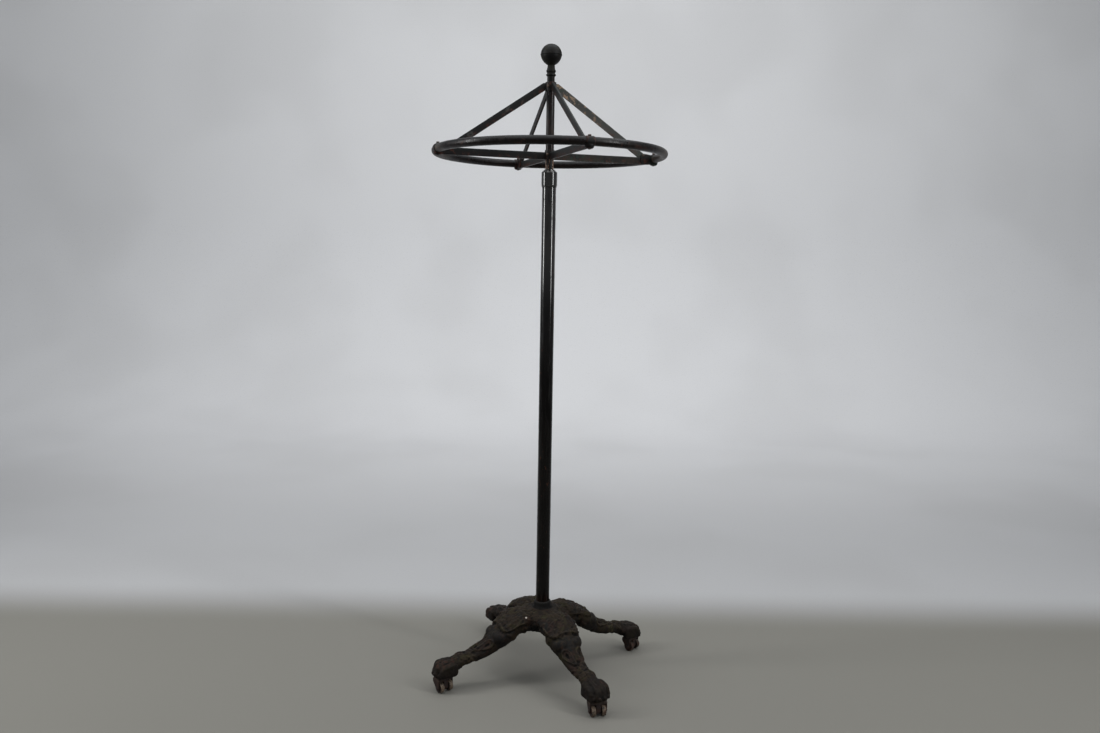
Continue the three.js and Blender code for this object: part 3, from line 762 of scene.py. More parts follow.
stem_finish, place = new_finish("worn_stem_paint")
marks = place.drawn(0.12).noise(230, 4, 0.62, 0.3)
patch = place.drawn(0.5).noise(52, 5, 0.6, 0.5)
speck = place.noise(420, 4, 0.65)
colour = patch.step(0.4, 0.66).between(shade(9, 9, 11), shade(20, 15, 13))
low = place.part(2).step(1.446, 1.432)
colour = colour.tint(96, 54, 36, marks.step(0.46, 0.6) * (0.1 + 0.85 * low))
colour = colour.tint(168, 152, 134, speck.step(0.52, 0.6) * marks.step(0.42, 0.56) * low)
rough = 0.26 + 0.3 * patch.step(0.4, 0.7) + 0.2 * low
lay(place, colour, rough, marks * 0.5 + speck * 0.5, 0.14, shine=0.22)
stem = tube("stem_tube", STEM_BORE, STEM_RADIUS, STEM_FOOT, STEM_TOP, 0.5, 72)
finish_piece(stem, "ring_head", "worn_rail", "stem", finish=stem_finish)

# ---------------- hub and collar
# Two turned rings pinned to the stem with round-headed screws. Each is slotted from below to hold
# four flat bars: the hub the level arms, and the collar the braces. Painted once, now brown.

FIRST_ARM = math.radians(18)
RAIL_HEIGHT = 1450.3
ARM_TOP, ARM_DEPTH, ARM_THICK = RAIL_HEIGHT + 3.2, 19, 6
ARM_FOOT = ARM_TOP - ARM_DEPTH
BRACE_TOP, BRACE_THICK, BRACE_DEPTH = 1634, 5, 18
HUB_RADIUS, COLLAR_RADIUS = 13.4, 14.7
SCREW_SIDE = math.radians(-27)


def bar_paint(name, paint, under, first_bar_wear_and_light, scrape_and_glint=0.0):
    """Black paint rubbed through to brown steel in patches, red-brown below. The blue-grey
    along the upper arris is painted highlight. Bar 1 is painted lightest, partly by wear and
    partly as painted light from the lamp at its side, and the last argument lays pale patches
    near its head, partly scraped steel and partly painted highlight."""
    finish, place = new_finish(name)
    ridge, upper, number = own(place, "ridge"), own(place, "upper"), own(place, "number")
    broad = place.noise(19, 4, 0.6, 0.6)
    patch = place.noise(64, 5, 0.62, 0.7)
    speck = place.noise(330, 4, 0.65)
    grain = place.noise(1100, 3, 0.6)
    # bar 1 is painted lighter below: partly wear, partly painted light from the lamp beside it
    first = (number - 1).size().step(0.6, 0.4)
    worn_and_lit = (broad * 0.6 + patch * 0.5 + first * first_bar_wear_and_light).step(0.58, 0.72)
    colour = worn_and_lit.between(paint, under)
    colour = colour.tint(72, 38, 28, patch.step(0.5, 0.64) * upper.step(0.7, 0.15) * 0.6)
    # blue-grey specks on the upper part of the bar are painted highlight
    colour = colour.tint(30, 44, 48, upper.step(0.55, 0.95) * speck.step(0.34, 0.58) * 0.4)
    colour = colour.tint(38, 52, 44, patch.step(0.46, 0.36) * first * 0.55)
    colour = colour.tint(84, 78, 72, ridge * speck.step(0.44, 0.62) * (0.22 + 0.4 * first))
    if scrape_and_glint:
        # pale patches near bar 1's head: partly scraped steel, partly painted highlight
        near = place.from_axis().step(0.17, 0.09) * first
        colour = colour.tint(156, 134, 112, patch.step(0.54, 0.61) * near * scrape_and_glint)
    rough = 0.4 + 0.22 * worn_and_lit + 0.12 * speck
    height = speck * 0.45 + grain * 0.25 - worn_and_lit * 0.3
    lay(place, colour, rough, height, 0.14, shine=0.2)
    return finish


hub_paint = bar_paint("worn_hub_paint", shade(17, 14, 13), shade(38, 28, 22), 0.0)


def slotted_ring(name, radius, low, high, slot_top, slot_width):
    """A ring for the stem, with four slots from below and a hole for its screw."""
    ring = tube(name, STEM_HOLE, radius, low, high, 0.7, 96)
    for quarter in range(4):
        slot = piece("slot", box(7, 37, -slot_width / 2, slot_width / 2, low - 5, slot_top))
        carve(ring, turned_about(slot, FIRST_ARM + quarter * QUARTER))
    hole = piece("hole", lathe([(0, 0), (2.5, 0), (2.5, 30), (0, 30)], 32))
    turned_about(hole, SCREW_SIDE, tilt=-math.pi / 2)
    carve(ring, turned_about(hole, math.pi, z=(low + high) / 2))
    return ring


def box(x0, x1, y0, y1, z0, z1):
    points = np.array([(x, y, z) for z in (z0, z1) for y in (y0, y1) for x in (x0, x1)], float)
    faces = [(0, 2, 3, 1), (4, 5, 7, 6), (0, 1, 5, 4), (2, 6, 7, 3), (0, 4, 6, 2), (1, 3, 7, 5)]
    return points, faces


hub = slotted_ring("arm_hub", HUB_RADIUS, ARM_FOOT + 1, ARM_TOP + 6, ARM_TOP + GAP,
                   ARM_THICK + 2 * GAP)
finish_piece(hub, "ring_head", "worn_bar", "lower_hub", finish=hub_paint, crease=30)
collar = slotted_ring("brace_collar", COLLAR_RADIUS, BRACE_TOP - 21, BRACE_TOP + 3,
                      BRACE_TOP + GAP, BRACE_THICK + 2 * GAP)
finish_piece(collar, "ring_head", "worn_bar", "upper_collar", finish=hub_paint, crease=30)


def set_screw(name, radius, height):
    """A round-headed screw with a slot across its head, pointing at the stem."""
    screw = piece(name, lathe(rounded([
        (0, STEM_RADIUS + 2 * GAP), (2.2, STEM_RADIUS + 2 * GAP), (2.2, radius + GAP),
        (3.8, radius + GAP), (3.5, radius + 1.8), (1.8, radius + 2.8), (0, radius + 3)],
        0.3, loop=False), 40))
    carve(screw, piece("slot", box(-5, 5, -0.45, 0.45, radius + 1.9, radius + 5)))
    turned_about(screw, 0, tilt=math.pi / 2)
    return turned_about(screw, SCREW_SIDE, z=height)


screw_steel = rusty_steel("screw_steel", shade(74, 66, 58), 90)
for name, node, radius, height in (
        ("hub_set_screw", "lower_hub_screw", HUB_RADIUS, ARM_TOP + 3.5 - ARM_DEPTH / 2),
        ("collar_set_screw", "upper_collar_screw", COLLAR_RADIUS, BRACE_TOP - 9)):
    screw = set_screw(name, radius, height)
    finish_piece(screw, "ring_head", "bare_steel", node, finish=screw_steel, crease=30)

# ---------------- arms and braces
# Eight flat steel bars, cut and filed. The arms stand on edge and run level from hub to ring, and
# the braces slope from the collar to rest a cut foot on each arm. Black paint worn to brown.

RAIL_RADIUS, RAIL_TUBE = 305, 11
RAIL_INSIDE = RAIL_RADIUS - RAIL_TUBE
BRACE_HEAD, BRACE_FOOT = 21, 288
BAR_ROOT = STEM_RADIUS + 2 * GAP
RIVET_OUT, RIVET_HEIGHT = 271, ARM_TOP + 5.6
BAR_EASE = 0.7  # at its arrises
BAR_CUTS = 1.5, 3.5  # lengthwise, this far from each long arris, so that wear can fade there
BAR_STEP = 7.0  # from one cut across to the next


def bar(name, outline, thickness):
    """A flat bar on edge: an outline of distance out and height, from its lower arris, with eased
    arrises. Its points carry how near they are to an arris, and how far up the bar."""
    mesh = bpy.data.meshes.new(name)
    body = bmesh.new()
    near, far = ([body.verts.new((out * MM, side * thickness / 2 * MM, height * MM))
                  for out, height in outline] for side in (-1, 1))
    body.faces.new(near)
    body.faces.new(list(reversed(far)))
    for i in range(len(outline)):
        j = (i + 1) % len(outline)
        body.faces.new((near[i], far[i], far[j], near[j]))
    bmesh.ops.bevel(body, geom=body.edges[:], offset=BAR_EASE * MM, segments=3, affect="EDGES",
                    profile=0.5)

    def cut(spot, way):
        bmesh.ops.bisect_plane(body, geom=body.verts[:] + body.edges[:] + body.faces[:],
                               plane_co=(spot[0], 0, spot[1]), plane_no=(way[0], 0, way[1]))

    arrises = [(np.array(a), np.array([a[1] - b[1], b[0] - a[0]]) / math.dist(a, b))
               for a, b in zip(outline, outline[1:] + outline[:1]) if math.dist(a, b) > 100]
    for start, inward in arrises:
        for inset in BAR_CUTS:
            cut((start + inward * inset) * MM, inward)
    longest = max(v.co.x for v in body.verts) / (BAR_STEP * MM)
    for step in np.arange(1, longest):
        cut((step * BAR_STEP * MM, 0), (1, 0))
    bmesh.ops.triangulate(body, faces=[f for f in body.faces if len(f.verts) > 4])
    bmesh.ops.recalc_face_normals(body, faces=body.faces)
    body.verts.index_update()
    # The cuts leave faces and corners in an order that changes from run to run. A face with four
    # corners is only turned by two of them, which keeps its diagonal.
    faces = []
    for face in body.faces:
        corners = [v.index for v in face.verts]
        starts = range(0, len(corners), 2 if len(corners) == 4 else 1)
        first = min(starts, key=corners.__getitem__)
        faces.append(corners[first:] + corners[:first])
    mesh.from_pydata([v.co[:] for v in body.verts], [], sorted(faces))
    body.free()
    points = mesh_arrays(mesh)[0][:, [0, 2]] / MM
    lower, upper = (np.abs((points - start) @ inward) for start, inward in arrises)
    carry(mesh, "ridge", ease(3.5, 0.8, np.minimum(lower, upper)))
    carry(mesh, "upper", lower / (lower + upper))
    return new_thing(name, mesh)


def numbered(name):
    return [f"{name}_{k}" for k in (1, 2, 3, 4)]


arm_paint = bar_paint("worn_and_lit_arm_paint", shade(12, 11, 11), shade(44, 38, 33), 0.12)
brace_paint = bar_paint("worn_and_lit_brace_paint", shade(14, 12, 12), shade(62, 62, 60), 0.24,
                        scrape_and_glint=0.65)
arms = bar("flat_arms", [
    (BAR_ROOT, ARM_FOOT), (RAIL_INSIDE - 4, ARM_FOOT), (RAIL_INSIDE - 4, ARM_TOP),
    (BAR_ROOT, ARM_TOP)], ARM_THICK)
four_of(arms, FIRST_ARM, arm_paint)
finish_piece(arms, "ring_head", "worn_bar", *numbered("arm"), crease=50)

foot_height = ARM_TOP + GAP
slope = (BRACE_TOP - foot_height) / (BRACE_FOOT - BRACE_HEAD)
rise = BRACE_DEPTH * math.hypot(1, slope)
braces = bar("flat_braces", [
    (BAR_ROOT, BRACE_TOP - 20), (16.5, BRACE_TOP + 4.5 * slope - rise),
    (BRACE_FOOT - rise / slope, foot_height), (BRACE_FOOT, foot_height),
    (BRACE_HEAD, BRACE_TOP), (BAR_ROOT, BRACE_TOP)], BRACE_THICK)
drill(braces, 2.4, -20, 20, 32, x=RIVET_OUT, z=RIVET_HEIGHT, tilt=math.pi / 2)
four_of(braces, FIRST_ARM, brace_paint)
finish_piece(braces, "ring_head", "worn_bar", *numbered("brace"), crease=50)

# ---------------- rail ring
# One steel tube, 22 mm across, rolled to a ring 610 mm across, with its two ends butted over a
# plug at the left. Its black paint is brown below; the blue above is painted highlight, and the
# pale at both sides is partly rubbed paint and partly painted highlight.

RAIL_SPLIT = math.radians(192.3)
SPLIT_WIDTH = 1.2 / RAIL_RADIUS


def bent_rod_nodes(grow, given):
    """A rod bent to an arc about the pole's axis, with closed ends."""
    arc = grow("GeometryNodeCurveArc", {"mode": "RADIUS"}, {
        "Resolution": given["Steps"], "Radius": given["Bend radius"],
        "Start Angle": given["Start"], "Sweep Angle": given["Sweep"]})
    section = grow("GeometryNodeCurvePrimitiveCircle", {"mode": "RADIUS"},
                   {"Resolution": 40, "Radius": given["Rod radius"]})
    rod = grow("GeometryNodeCurveToMesh", {}, {
        "Curve": arc, "Profile Curve": section, "Fill Caps": True})
    lift = grow("ShaderNodeCombineXYZ", {}, {"Z": given["Height"]})
    return grow("GeometryNodeTransform", {}, {"Geometry": rod, "Translation": lift})


BENT_ROD = new_tree("bent_rod", [
    ("Seed", "Geometry"), ("Bend radius", "Float"), ("Rod radius", "Float"), ("Height", "Float"),
    ("Start", "Float"), ("Sweep", "Float"), ("Steps", "Int")], bent_rod_nodes)


def bent_rod(name, radius, start, sweep, steps, finish):
    """A rod of the ring. The box is only there because a tree has to run on a mesh."""
    return grown(piece(name, box(0, 1, 0, 1, 0, 1)), BENT_ROD, {
        "Bend radius": RAIL_RADIUS * MM, "Rod radius": radius * MM, "Height": RAIL_HEIGHT * MM,
        "Start": start, "Sweep": sweep, "Steps": steps, "Finish": finish})


rail_paint, place = new_finish("worn_rail_paint_and_sheen")
across, height_at = place.part(0), place.part(2)
upper = height_at.step(1.447, 1.459)
tip_wear_and_glint = across.size().step(0.262, 0.304)
broad = place.noise(13, 4, 0.6, 0.8)
patch = place.noise(64, 5, 0.62, 0.9)
speck = place.noise(300, 4, 0.65)
grain = place.noise(1000, 3, 0.6)
# bluish black above, as painted highlight, and red-brown black below
colour = upper.between(shade(17, 11, 10), shade(10, 11, 13))
colour = colour.tint(62, 34, 26, patch.step(0.54, 0.67) * (1 - upper * 0.7) * 0.5)
# blue-grey patches on top are painted highlight
colour = colour.tint(25, 35, 40, upper * broad.step(0.44, 0.62) * patch.step(0.4, 0.6) * 0.45)
# pale specks at both sides: partly rubbed paint, partly painted highlight
colour = colour.tint(122, 114, 105, tip_wear_and_glint * speck.step(0.36, 0.7) * patch.step(0.38, 0.56) * 0.75)
colour = colour.tint(112, 72, 54, patch.step(0.68, 0.74) * 0.6)
colour = colour.tint(10, 9, 10, broad.step(0.48, 0.38) * 0.7)
rough = 0.22 + 0.2 * patch.step(0.4, 0.65) + 0.1 * speck + 0.15 * tip_wear_and_glint
lay(place, colour, rough, speck * 0.5 + grain * 0.25 + patch * 0.25, 0.1, shine=0.22)

rail = bent_rod("rail_tube", RAIL_TUBE, RAIL_SPLIT + SPLIT_WIDTH / 2, FULL - SPLIT_WIDTH, 288,
                rail_paint)
finish_piece(rail, "ring_head", "worn_rail", "rail_ring")
PLUG_REACH = 20 / RAIL_RADIUS
plug = bent_rod("rail_plug", 8.0, RAIL_SPLIT - PLUG_REACH, 2 * PLUG_REACH, 24, hub_rust)
finish_piece(plug, "ring_head", "rusty_iron", "rail_splice")

# ---------------- rail clamps
# Four small iron castings, each a sleeve round the rail with a round boss below it, and two
# cheeks that hold an arm's end and a brace's foot. A bolt goes down through sleeve and rail and is
# hammered over below the boss, and a rivet goes through the cheeks. Lumpy as cast, and dark.

SLEEVE, CHEEK = 1.9, 2.2
BOSS_DEPTH = 17.6


def settled_lump(name, *parts, grid, soften):
    """Joins closed parts into one rounded lump."""
    lump = fuse(piece(name, *parts, merge=1e-7), grid)
    points, links = mesh_arrays(lump.data)
    move_points(lump.data, smooth_points(points, links, soften))
    return lump


def slab(outline, thickness, across=0.0):
    """A plate on edge as points and faces."""
    count = len(outline)
    points = np.array([(out, across + side * thickness / 2, height)
                       for side in (-1, 1) for out, height in outline], float)
    faces = [tuple(range(count)), tuple(reversed(range(count, 2 * count)))]
    faces += [(i, (i + 1) % count, count + (i + 1) % count, count + i) for i in range(count)]
    return points, faces


def lying(shell, out, side, height):
    """Lays a lathe turning down to point along Y."""
    points, faces = shell
    return points[:, [0, 2, 1]] + (out, side, height), faces


OUTSIDE = RAIL_TUBE + SLEEVE
sleeve = lying(lathe(rounded([
    (0, -12), (OUTSIDE - 0.8, -12), (OUTSIDE, -9.5), (OUTSIDE, 9.5), (OUTSIDE - 0.8, 12),
    (0, 12)], 0.8), 72), RAIL_RADIUS, 0, RAIL_HEIGHT)
boss_points, boss_faces = lathe(rounded([
    (0, -BOSS_DEPTH), (7.5, -BOSS_DEPTH), (10.8, -BOSS_DEPTH + 2.6), (12.4, -8), (0, -8)],
    1.2, loop=False), 56)
boss_points = boss_points + (RAIL_RADIUS, 0, RAIL_HEIGHT)
cheeks = slab([
    (264, ARM_TOP - 12), (269, ARM_FOOT + 1), (RAIL_RADIUS - 8, ARM_FOOT + 1),
    (RAIL_RADIUS - 8, ARM_TOP + 7), (275, ARM_TOP + 10), (267, ARM_TOP + 9),
    (264, ARM_TOP + 4)], ARM_THICK + 2 * GAP + 2 * CHEEK)
clamps = settled_lump("rail_clamps", sleeve, (boss_points, boss_faces), cheeks, grid=0.66,
                      soften=4)
mark_ridges(clamps, 3, 14)
carve(clamps, piece("mouth", box(
    231, 291.5, -ARM_THICK / 2 - GAP, ARM_THICK / 2 + GAP, ARM_FOOT - 10, ARM_TOP + 20)))
carve(clamps, piece("opening", lying(lathe([
    (0, -20), (RAIL_TUBE + 0.5, -20), (RAIL_TUBE + 0.5, 20), (0, 20)], 96),
    RAIL_RADIUS, 0, RAIL_HEIGHT)))
drill(clamps, 3.4, 1420, 1480, 40, x=RAIL_RADIUS)
# clamp 1 takes bar 1's lighter marks, which are partly painted light
clamp_paint = bar_paint("worn_and_lit_clamp_paint", shade(9, 8, 8), shade(21, 15, 13), 0.0)
four_of(clamps, FIRST_ARM, clamp_paint)
finish_piece(clamps, "ring_head", "worn_rail", *numbered("rail_clamp"), crease=55)

SEAT = OUTSIDE + GAP
bolts = piece("rail_bolts", lathe(rounded([
    (0, -BOSS_DEPTH - 1.8), (2.8, -BOSS_DEPTH - 1.5), (4.4, -BOSS_DEPTH - GAP),
    (3, -BOSS_DEPTH - GAP), (3, SEAT), (4.4, SEAT), (4.5, SEAT + 1.6), (3.6, SEAT + 2.9),
    (0, SEAT + 3.4)], 0.4, loop=False), 40))
turned_about(bolts, 0, x=RAIL_RADIUS, z=RAIL_HEIGHT)
four_of(bolts, FIRST_ARM, hub_rust)
finish_piece(bolts, "ring_head", "worn_bar", *numbered("rail_bolt"), crease=30)

HEAD = ARM_THICK / 2 + GAP + CHEEK + GAP
rivets = piece("brace_rivets", lathe(rounded([
    (0, -HEAD - 1.8), (2.4, -HEAD - 1.5), (3.8, -HEAD), (2, -HEAD), (2, HEAD), (3.8, HEAD),
    (2.4, HEAD + 1.5), (0, HEAD + 1.8)], 0.4, loop=False), 36))
turned_about(rivets, 0, x=RIVET_OUT, z=RIVET_HEIGHT, tilt=math.pi / 2)
four_of(rivets, FIRST_ARM, hub_rust)
finish_piece(rivets, "ring_head", "worn_bar", *numbered("brace_rivet"), crease=30)

# ---------------- finial
# A turned neck with two beads, driven into the stem, and on its stud a ball spun from two sheet
# shells that meet in a fine seam. All of it is black, gone dull, and cleaner than the rest.

BALL_RADIUS, BALL_CENTRE, WALL = 28.3, 1708.5, 1.6

finial_paint, place = new_finish("finial_gloss_black")
smears = place.drawn(0.6).noise(60, 4, 0.6, 0.5)
dust = place.noise(240, 4, 0.65)
grain = place.noise(1100, 3, 0.6)
colour = smears.step(0.4, 0.65).between(shade(11, 11, 11), shade(18, 15, 13))
colour = colour.tint(27, 28, 19, smears.step(0.52, 0.62) * 0.6)
# a blue-green cast on the ball's upper half is painted reflection
colour = colour.tint(14, 24, 26, smears.step(0.46, 0.36) * place.part(2).step(1.7, 1.71) * 0.6)
colour = colour.tint(74, 50, 42, dust.step(0.64, 0.72) * smears.step(0.45, 0.6) * 0.6)
rough = 0.42 + 0.16 * smears.step(0.35, 0.7) + 0.08 * dust
lay(place, colour, rough, dust * 0.5 + grain * 0.3 + smears * 0.2, 0.12, shine=0.16)

neck = piece("finial_neck_turning", lathe(rounded([
    (0, 1612), (8.2, 1612), (8.2, STEM_TOP + GAP), (10, STEM_TOP + GAP), (10, 1652),
    (13.1, 1654.4), (13.1, 1657.2), (10.3, 1660.6), (12.8, 1664.6), (12.8, 1667.8), (10.8, 1671),
    (10.1, 1676), (9.7, 1680.2), (5.6, 1680.2), (5.6, 1688), (0, 1688)], 0.7, loop=False), 80))
finish_piece(neck, "ring_head", "black_paint", "finial_neck", finish=finial_paint, crease=45)


def ball_arc(radius, start, end, count):
    """Points along the ball's outside or inside. Below its middle it narrows a little."""
    points = []
    for angle in np.radians(np.linspace(start, end, count)):
        narrow = 1 + 0.09 * math.sin(angle) if angle < 0 else 1
        points.append((narrow * radius * math.cos(angle), BALL_CENTRE + radius * math.sin(angle)))
    return points


SEAM = BALL_CENTRE + 0.15
upper_shell = piece("ball_upper", lathe([
    (BALL_RADIUS + 0.5, SEAM), (BALL_RADIUS + 0.6, SEAM + 0.3), (BALL_RADIUS + 0.5, SEAM + 0.8),
    *ball_arc(BALL_RADIUS, 3, 89.5, 44), (0, BALL_CENTRE + BALL_RADIUS),
    (0, BALL_CENTRE + BALL_RADIUS - WALL), *ball_arc(BALL_RADIUS - WALL, 88, 3, 24),
    (BALL_RADIUS - WALL, SEAM)], 96, wrap=True))
finish_piece(upper_shell, "ring_head", "black_paint", "ball_upper_shell", finish=finial_paint,
             crease=50)
lower_shell = piece("ball_lower", lathe([
    (BALL_RADIUS + 0.5, SEAM - GAP), (BALL_RADIUS - WALL, SEAM - GAP),
    *ball_arc(BALL_RADIUS - WALL, -3, -66, 24), (6, 1683.2), (6, 1680.6), (9.2, 1680.6),
    *ball_arc(BALL_RADIUS, -66, -3, 32), (BALL_RADIUS + 0.5, SEAM - 1.1),
    (BALL_RADIUS + 0.6, SEAM - 0.6)], 96, wrap=True))
finish_piece(lower_shell, "ring_head", "black_paint", "ball_lower_shell", finish=finial_paint,
             crease=50)

# ---------------- casters
# A small twin-wheel caster under each paw: a round plate against the sole, a pin that its yoke
# swivels on, and two iron wheels loose on one axle behind the pin. The yoke is a crown with two
# ears, and a bearing block that hangs between the wheels. Brown with rust, the treads worn pale.

TRAIL, WHEEL_RADIUS, WHEEL_OFFSET = 7, 15, 14
CROWN_FOOT, CROWN_TOP = 32, 41
AXLE_RADIUS, EYE, BLOCK, INNER, OUTER = 3, 6, 9.5, 20.9, 23.9
AXLE_TURNS = [math.radians(turn) for turn in (50, 110, 42, 16)]

caster_iron, place = new_finish("rusty_caster_iron")
ridge = own(place, "ridge")
patch = place.noise(80, 5, 0.62, 0.6)
speck = place.noise(420, 4, 0.65)
grain = place.noise(1500, 3, 0.6)
colour = patch.step(0.4, 0.66).between(shade(27, 18, 16), shade(46, 29, 22))
colour = colour.tint(44, 29, 33, patch.step(0.5, 0.38) * speck.step(0.4, 0.6) * 0.6)
crowned = place.part(2).step(0.0335, 0.036)
colour = colour.tint(62, 52, 43, crowned * speck.step(0.34, 0.58) * 0.5)
colour = colour.tint(92, 74, 58, ridge.step(0.03, 0.15) * speck.step(0.42, 0.62) * 0.6)
colour = colour.tint(94, 54, 36, speck.step(0.62, 0.7) * patch.step(0.46, 0.62) * 0.6)
colour = colour.tint(16, 12, 11, ridge.step(-0.01, -0.1) * 0.85)
rough = 0.58 + 0.25 * patch.step(0.35, 0.65)
lay(place, colour, rough, speck * 0.6 + grain * 0.4, 0.22, shine=0.35)

wheel_iron, place = new_finish("wheel_iron_worn_and_front_lit")
tread = own(place, "tread")
patch = place.noise(95, 5, 0.62, 0.6)
speck = place.noise(460, 4, 0.65)
colour = patch.step(0.4, 0.66).between(shade(22, 15, 13), shade(50, 29, 21))
# all treads are worn pale, and the front wheels' treads are paler still, as painted light
front_wheel_light = place.part(1).step(0.1, -0.1)
colour = colour.tint(128, 113, 96, tread * speck.step(0.36, 0.58) * patch.step(0.3, 0.52)
                     * (0.15 + 0.65 * front_wheel_light))
colour = colour.tint(58, 37, 30, tread * patch.step(0.52, 0.62) * 0.75)
rough = 0.66 - 0.1 * tread + 0.2 * patch.step(0.35, 0.65)
lay(place, colour, rough, speck, 0.25, shine=0.35)

plate_shell = lathe(rounded([
    (4.4, CROWN_TOP + GAP), (16.2, CROWN_TOP + GAP), (17, CROWN_TOP + 1.4), (17, PAW_SOLE - 1.2),
    (16.4, PAW_SOLE - GAP), (4.4, PAW_SOLE - GAP)], 0.5), 64)
pin_shell = lathe(rounded([
    (0, 25.3), (3.4, 25.3), (PIN_RADIUS, 26), (PIN_RADIUS, PIN_TOP), (0, PIN_TOP)],
    0.4, loop=False), 48)


def yoke(name):
    """A crown over the wheels, two ears that lean back to eyes on the axle, and the block."""
    below = np.radians(np.linspace(195, 363, 15))
    eye, block = ([(TRAIL + size * math.cos(a), WHEEL_RADIUS + size * math.sin(a)) for a in below]
                  for size in (EYE, BLOCK))
    ear = [(-13, CROWN_FOOT + 3), (-13, CROWN_FOOT - 2), *eye, (14, 27), (14, CROWN_FOOT + 3)]
    ears = [slab(ear, OUTER - INNER, side * (OUTER + INNER) / 2) for side in (-1, 1)]
    crown = slab([(-13, CROWN_FOOT), (14, CROWN_FOOT), (14, CROWN_TOP - 3), (11, CROWN_TOP),
                  (-10, CROWN_TOP), (-13, CROWN_TOP - 3)], 2 * OUTER)
    hanger = slab([(-9, CROWN_FOOT + 2), (-9, 21), *block, (15, CROWN_FOOT + 2)],
                  2 * (WHEEL_OFFSET - 7.2))
    forked = settled_lump(name, crown, *ears, hanger, grid=0.6, soften=2)
    mark_ridges(forked, 2, 10)
    drill(forked, AXLE_RADIUS + 0.4, -40, 40, 40, x=TRAIL, z=WHEEL_RADIUS, tilt=math.pi / 2)
    return drill(forked, PIN_RADIUS + 0.4, 25, 50, 40)


axle_shell = lying(lathe(rounded([
    (0, -26), (4.2, -24.9), (4.6, -OUTER - GAP), (AXLE_RADIUS, -OUTER - GAP),
    (AXLE_RADIUS, OUTER + GAP), (4.6, OUTER + GAP), (4.2, 24.9), (0, 26)], 0.3, loop=False), 40),
    TRAIL, 0, WHEEL_RADIUS)


def wheel(name, side):
    """A cast wheel: a crowned tread, a dished face and a hub with an oil recess."""
    profile = rounded([
        (3.5, -6.4), (6.3, -6.4), (6.8, -4.6), (9.6, -3.9), (11.6, -4.4), (12.4, -5.6),
        (13.6, -5.6), (15, -4.4), (15.02, 0), (15, 4.4), (13.6, 5.6), (12.4, 5.6),
        (11.6, 4.6), (9.6, 4.2), (6.8, 4.8), (6.3, 6.2), (3.5, 6.2)], 0.5)
    turning = piece(name, lying(lathe(profile, 80), TRAIL, side * WHEEL_OFFSET, WHEEL_RADIUS))
    points, _ = mesh_arrays(turning.data)
    points = points / MM - (TRAIL, side * WHEEL_OFFSET, WHEEL_RADIUS)
    reach = ease(12.6, 14.6, np.hypot(points[:, 0], points[:, 2]))
    carry(turning.data, "tread", reach)
    return turning


for number, (way, axle_turn) in enumerate(zip(PINS, AXLE_TURNS), 1):
    spot, swivel = at_pin(way), axle_turn - math.pi / 2
    name = f"caster_{number}"
    for part, shell in (("plate", plate_shell), ("pin", pin_shell)):
        fixed = turned_about(piece(f"{name}_fixed_{part}", shell), way, **spot)
        finish_piece(fixed, "base_frame", "rusty_iron", f"{name}_{part}", finish=caster_iron)
    forked = turned_about(yoke(f"{name}_fork"), swivel, **spot)
    finish_piece(forked, name, "rusty_iron", f"{name}_yoke", finish=caster_iron, crease=45)
    axle = turned_about(piece(f"{name}_spindle", axle_shell), swivel, **spot)
    finish_piece(axle, name, "rusty_iron", f"{name}_axle", finish=caster_iron)
    for side, hand in ((1, "left"), (-1, "right")):
        rolling = turned_about(wheel(f"{name}_{hand}_roller", side), swivel, **spot)
        finish_piece(rolling, f"{name}_{hand}", "worn_wheel", f"{name}_wheel_{hand}",
                     finish=wheel_iron, crease=50)

# ---------------- studio
# A plain pale floor that curves up into a pale backdrop, soft lamps on both sides and above, and
# the camera, which looks at the rack from a little below its arms.


def sweep_floor():
    """The floor and the backdrop as one sheet."""
    floor_end, radius, top, half_width = 3.2, 1.4, 6.0, 9
    curve = [(-half_width, 0), (0, 0), (floor_end, 0)]
    for turn in np.linspace(0, math.pi / 2, 24)[1:]:
        curve.append((floor_end + radius * math.sin(turn), radius - radius * math.cos(turn)))
    curve.append((floor_end + radius, top))
    mesh = bpy.data.meshes.new("studio_floor")
    points = [(x, y, z) for y, z in curve for x in (-half_width, half_width)]
    faces = [(2 * i, 2 * i + 1, 2 * i + 3, 2 * i + 2) for i in range(len(curve) - 1)]
    mesh.from_pydata(points, [], faces)
    mesh.shade_smooth()
    return new_thing("studio_floor", mesh)


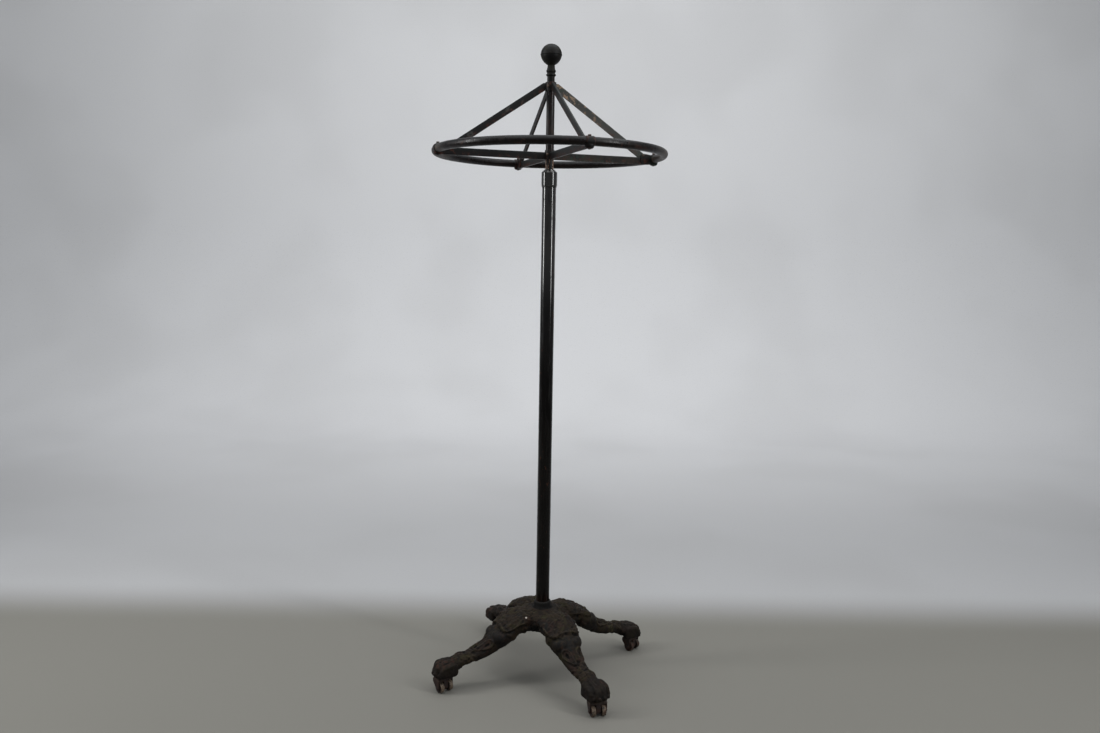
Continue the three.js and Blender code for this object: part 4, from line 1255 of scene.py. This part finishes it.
paper, place = new_finish("pale_floor")
cloud = place.noise(0.9, 2, 0.5)
fibre = place.noise(140, 4, 0.6)
far, away = place.part(1).step(0.3, 0.65), place.part(1).step(0.9, 3.9)
colour = far.between(shade(112, 111, 105), shade(162, 163, 165))
colour = colour.tint(221, 222, 224, away)
colour = colour.tint(110, 108, 104, cloud.step(0.42, 0.66) * 0.08)
colour = colour.tint(108, 105, 100, fibre.step(0.55, 0.75) * 0.14)
lay(place, colour, 0.8 + 0.1 * fibre, fibre, 0.05)
floor = sweep_floor()
floor.data.materials.append(paper)

world = bpy.data.worlds.new("studio_light")
bpy.context.scene.world = world
world.use_nodes = True
world.node_tree.nodes["Background"].inputs["Color"].default_value = shade(226, 229, 232)
world.node_tree.nodes["Background"].inputs["Strength"].default_value = 0.38


def lamp(name, size, power, spot, towards):
    light = bpy.data.lights.new(name, "AREA")
    light.shape, light.size, light.size_y, light.energy = "RECTANGLE", size[0], size[1], power
    holder = new_thing(name, light)
    holder.location = spot
    aim = mathutils.Vector(towards) - mathutils.Vector(spot)
    holder.rotation_euler = aim.to_track_quat("-Z", "Y").to_euler()


lamp("window_left", (0.45, 1.9), 44, (-2.6, -0.4, 2.1), (0, 0, 1.1))
lamp("window_right", (0.28, 1.9), 34, (2.4, -1.5, 2.05), (0, 0, 1.1))
lamp("ceiling", (5.0, 4.0), 92, (0.2, -0.6, 3.6), (0, 0, 0.5))
lamp("wall_wash", (6.0, 1.0), 80, (0, 0.8, 4.6), (0, 4.6, 2.6))

lens = bpy.data.cameras.new("camera")
lens.lens, lens.sensor_width = 30.40, 36.0
camera = new_thing("camera", lens)
camera.location = (0, -2.5505, 1.1771)
camera.rotation_mode = "QUATERNION"
YAW, DOWN, ROLL = -0.00405, math.radians(90 - 6.78), 0.0168
camera.rotation_quaternion = (
    mathutils.Matrix.Rotation(YAW, 3, "Z") @ mathutils.Matrix.Rotation(DOWN, 3, "X")
    @ mathutils.Matrix.Rotation(ROLL, 3, "Z")).to_quaternion()
bpy.context.scene.camera = camera
bpy.context.scene.view_settings.view_transform = "Standard"
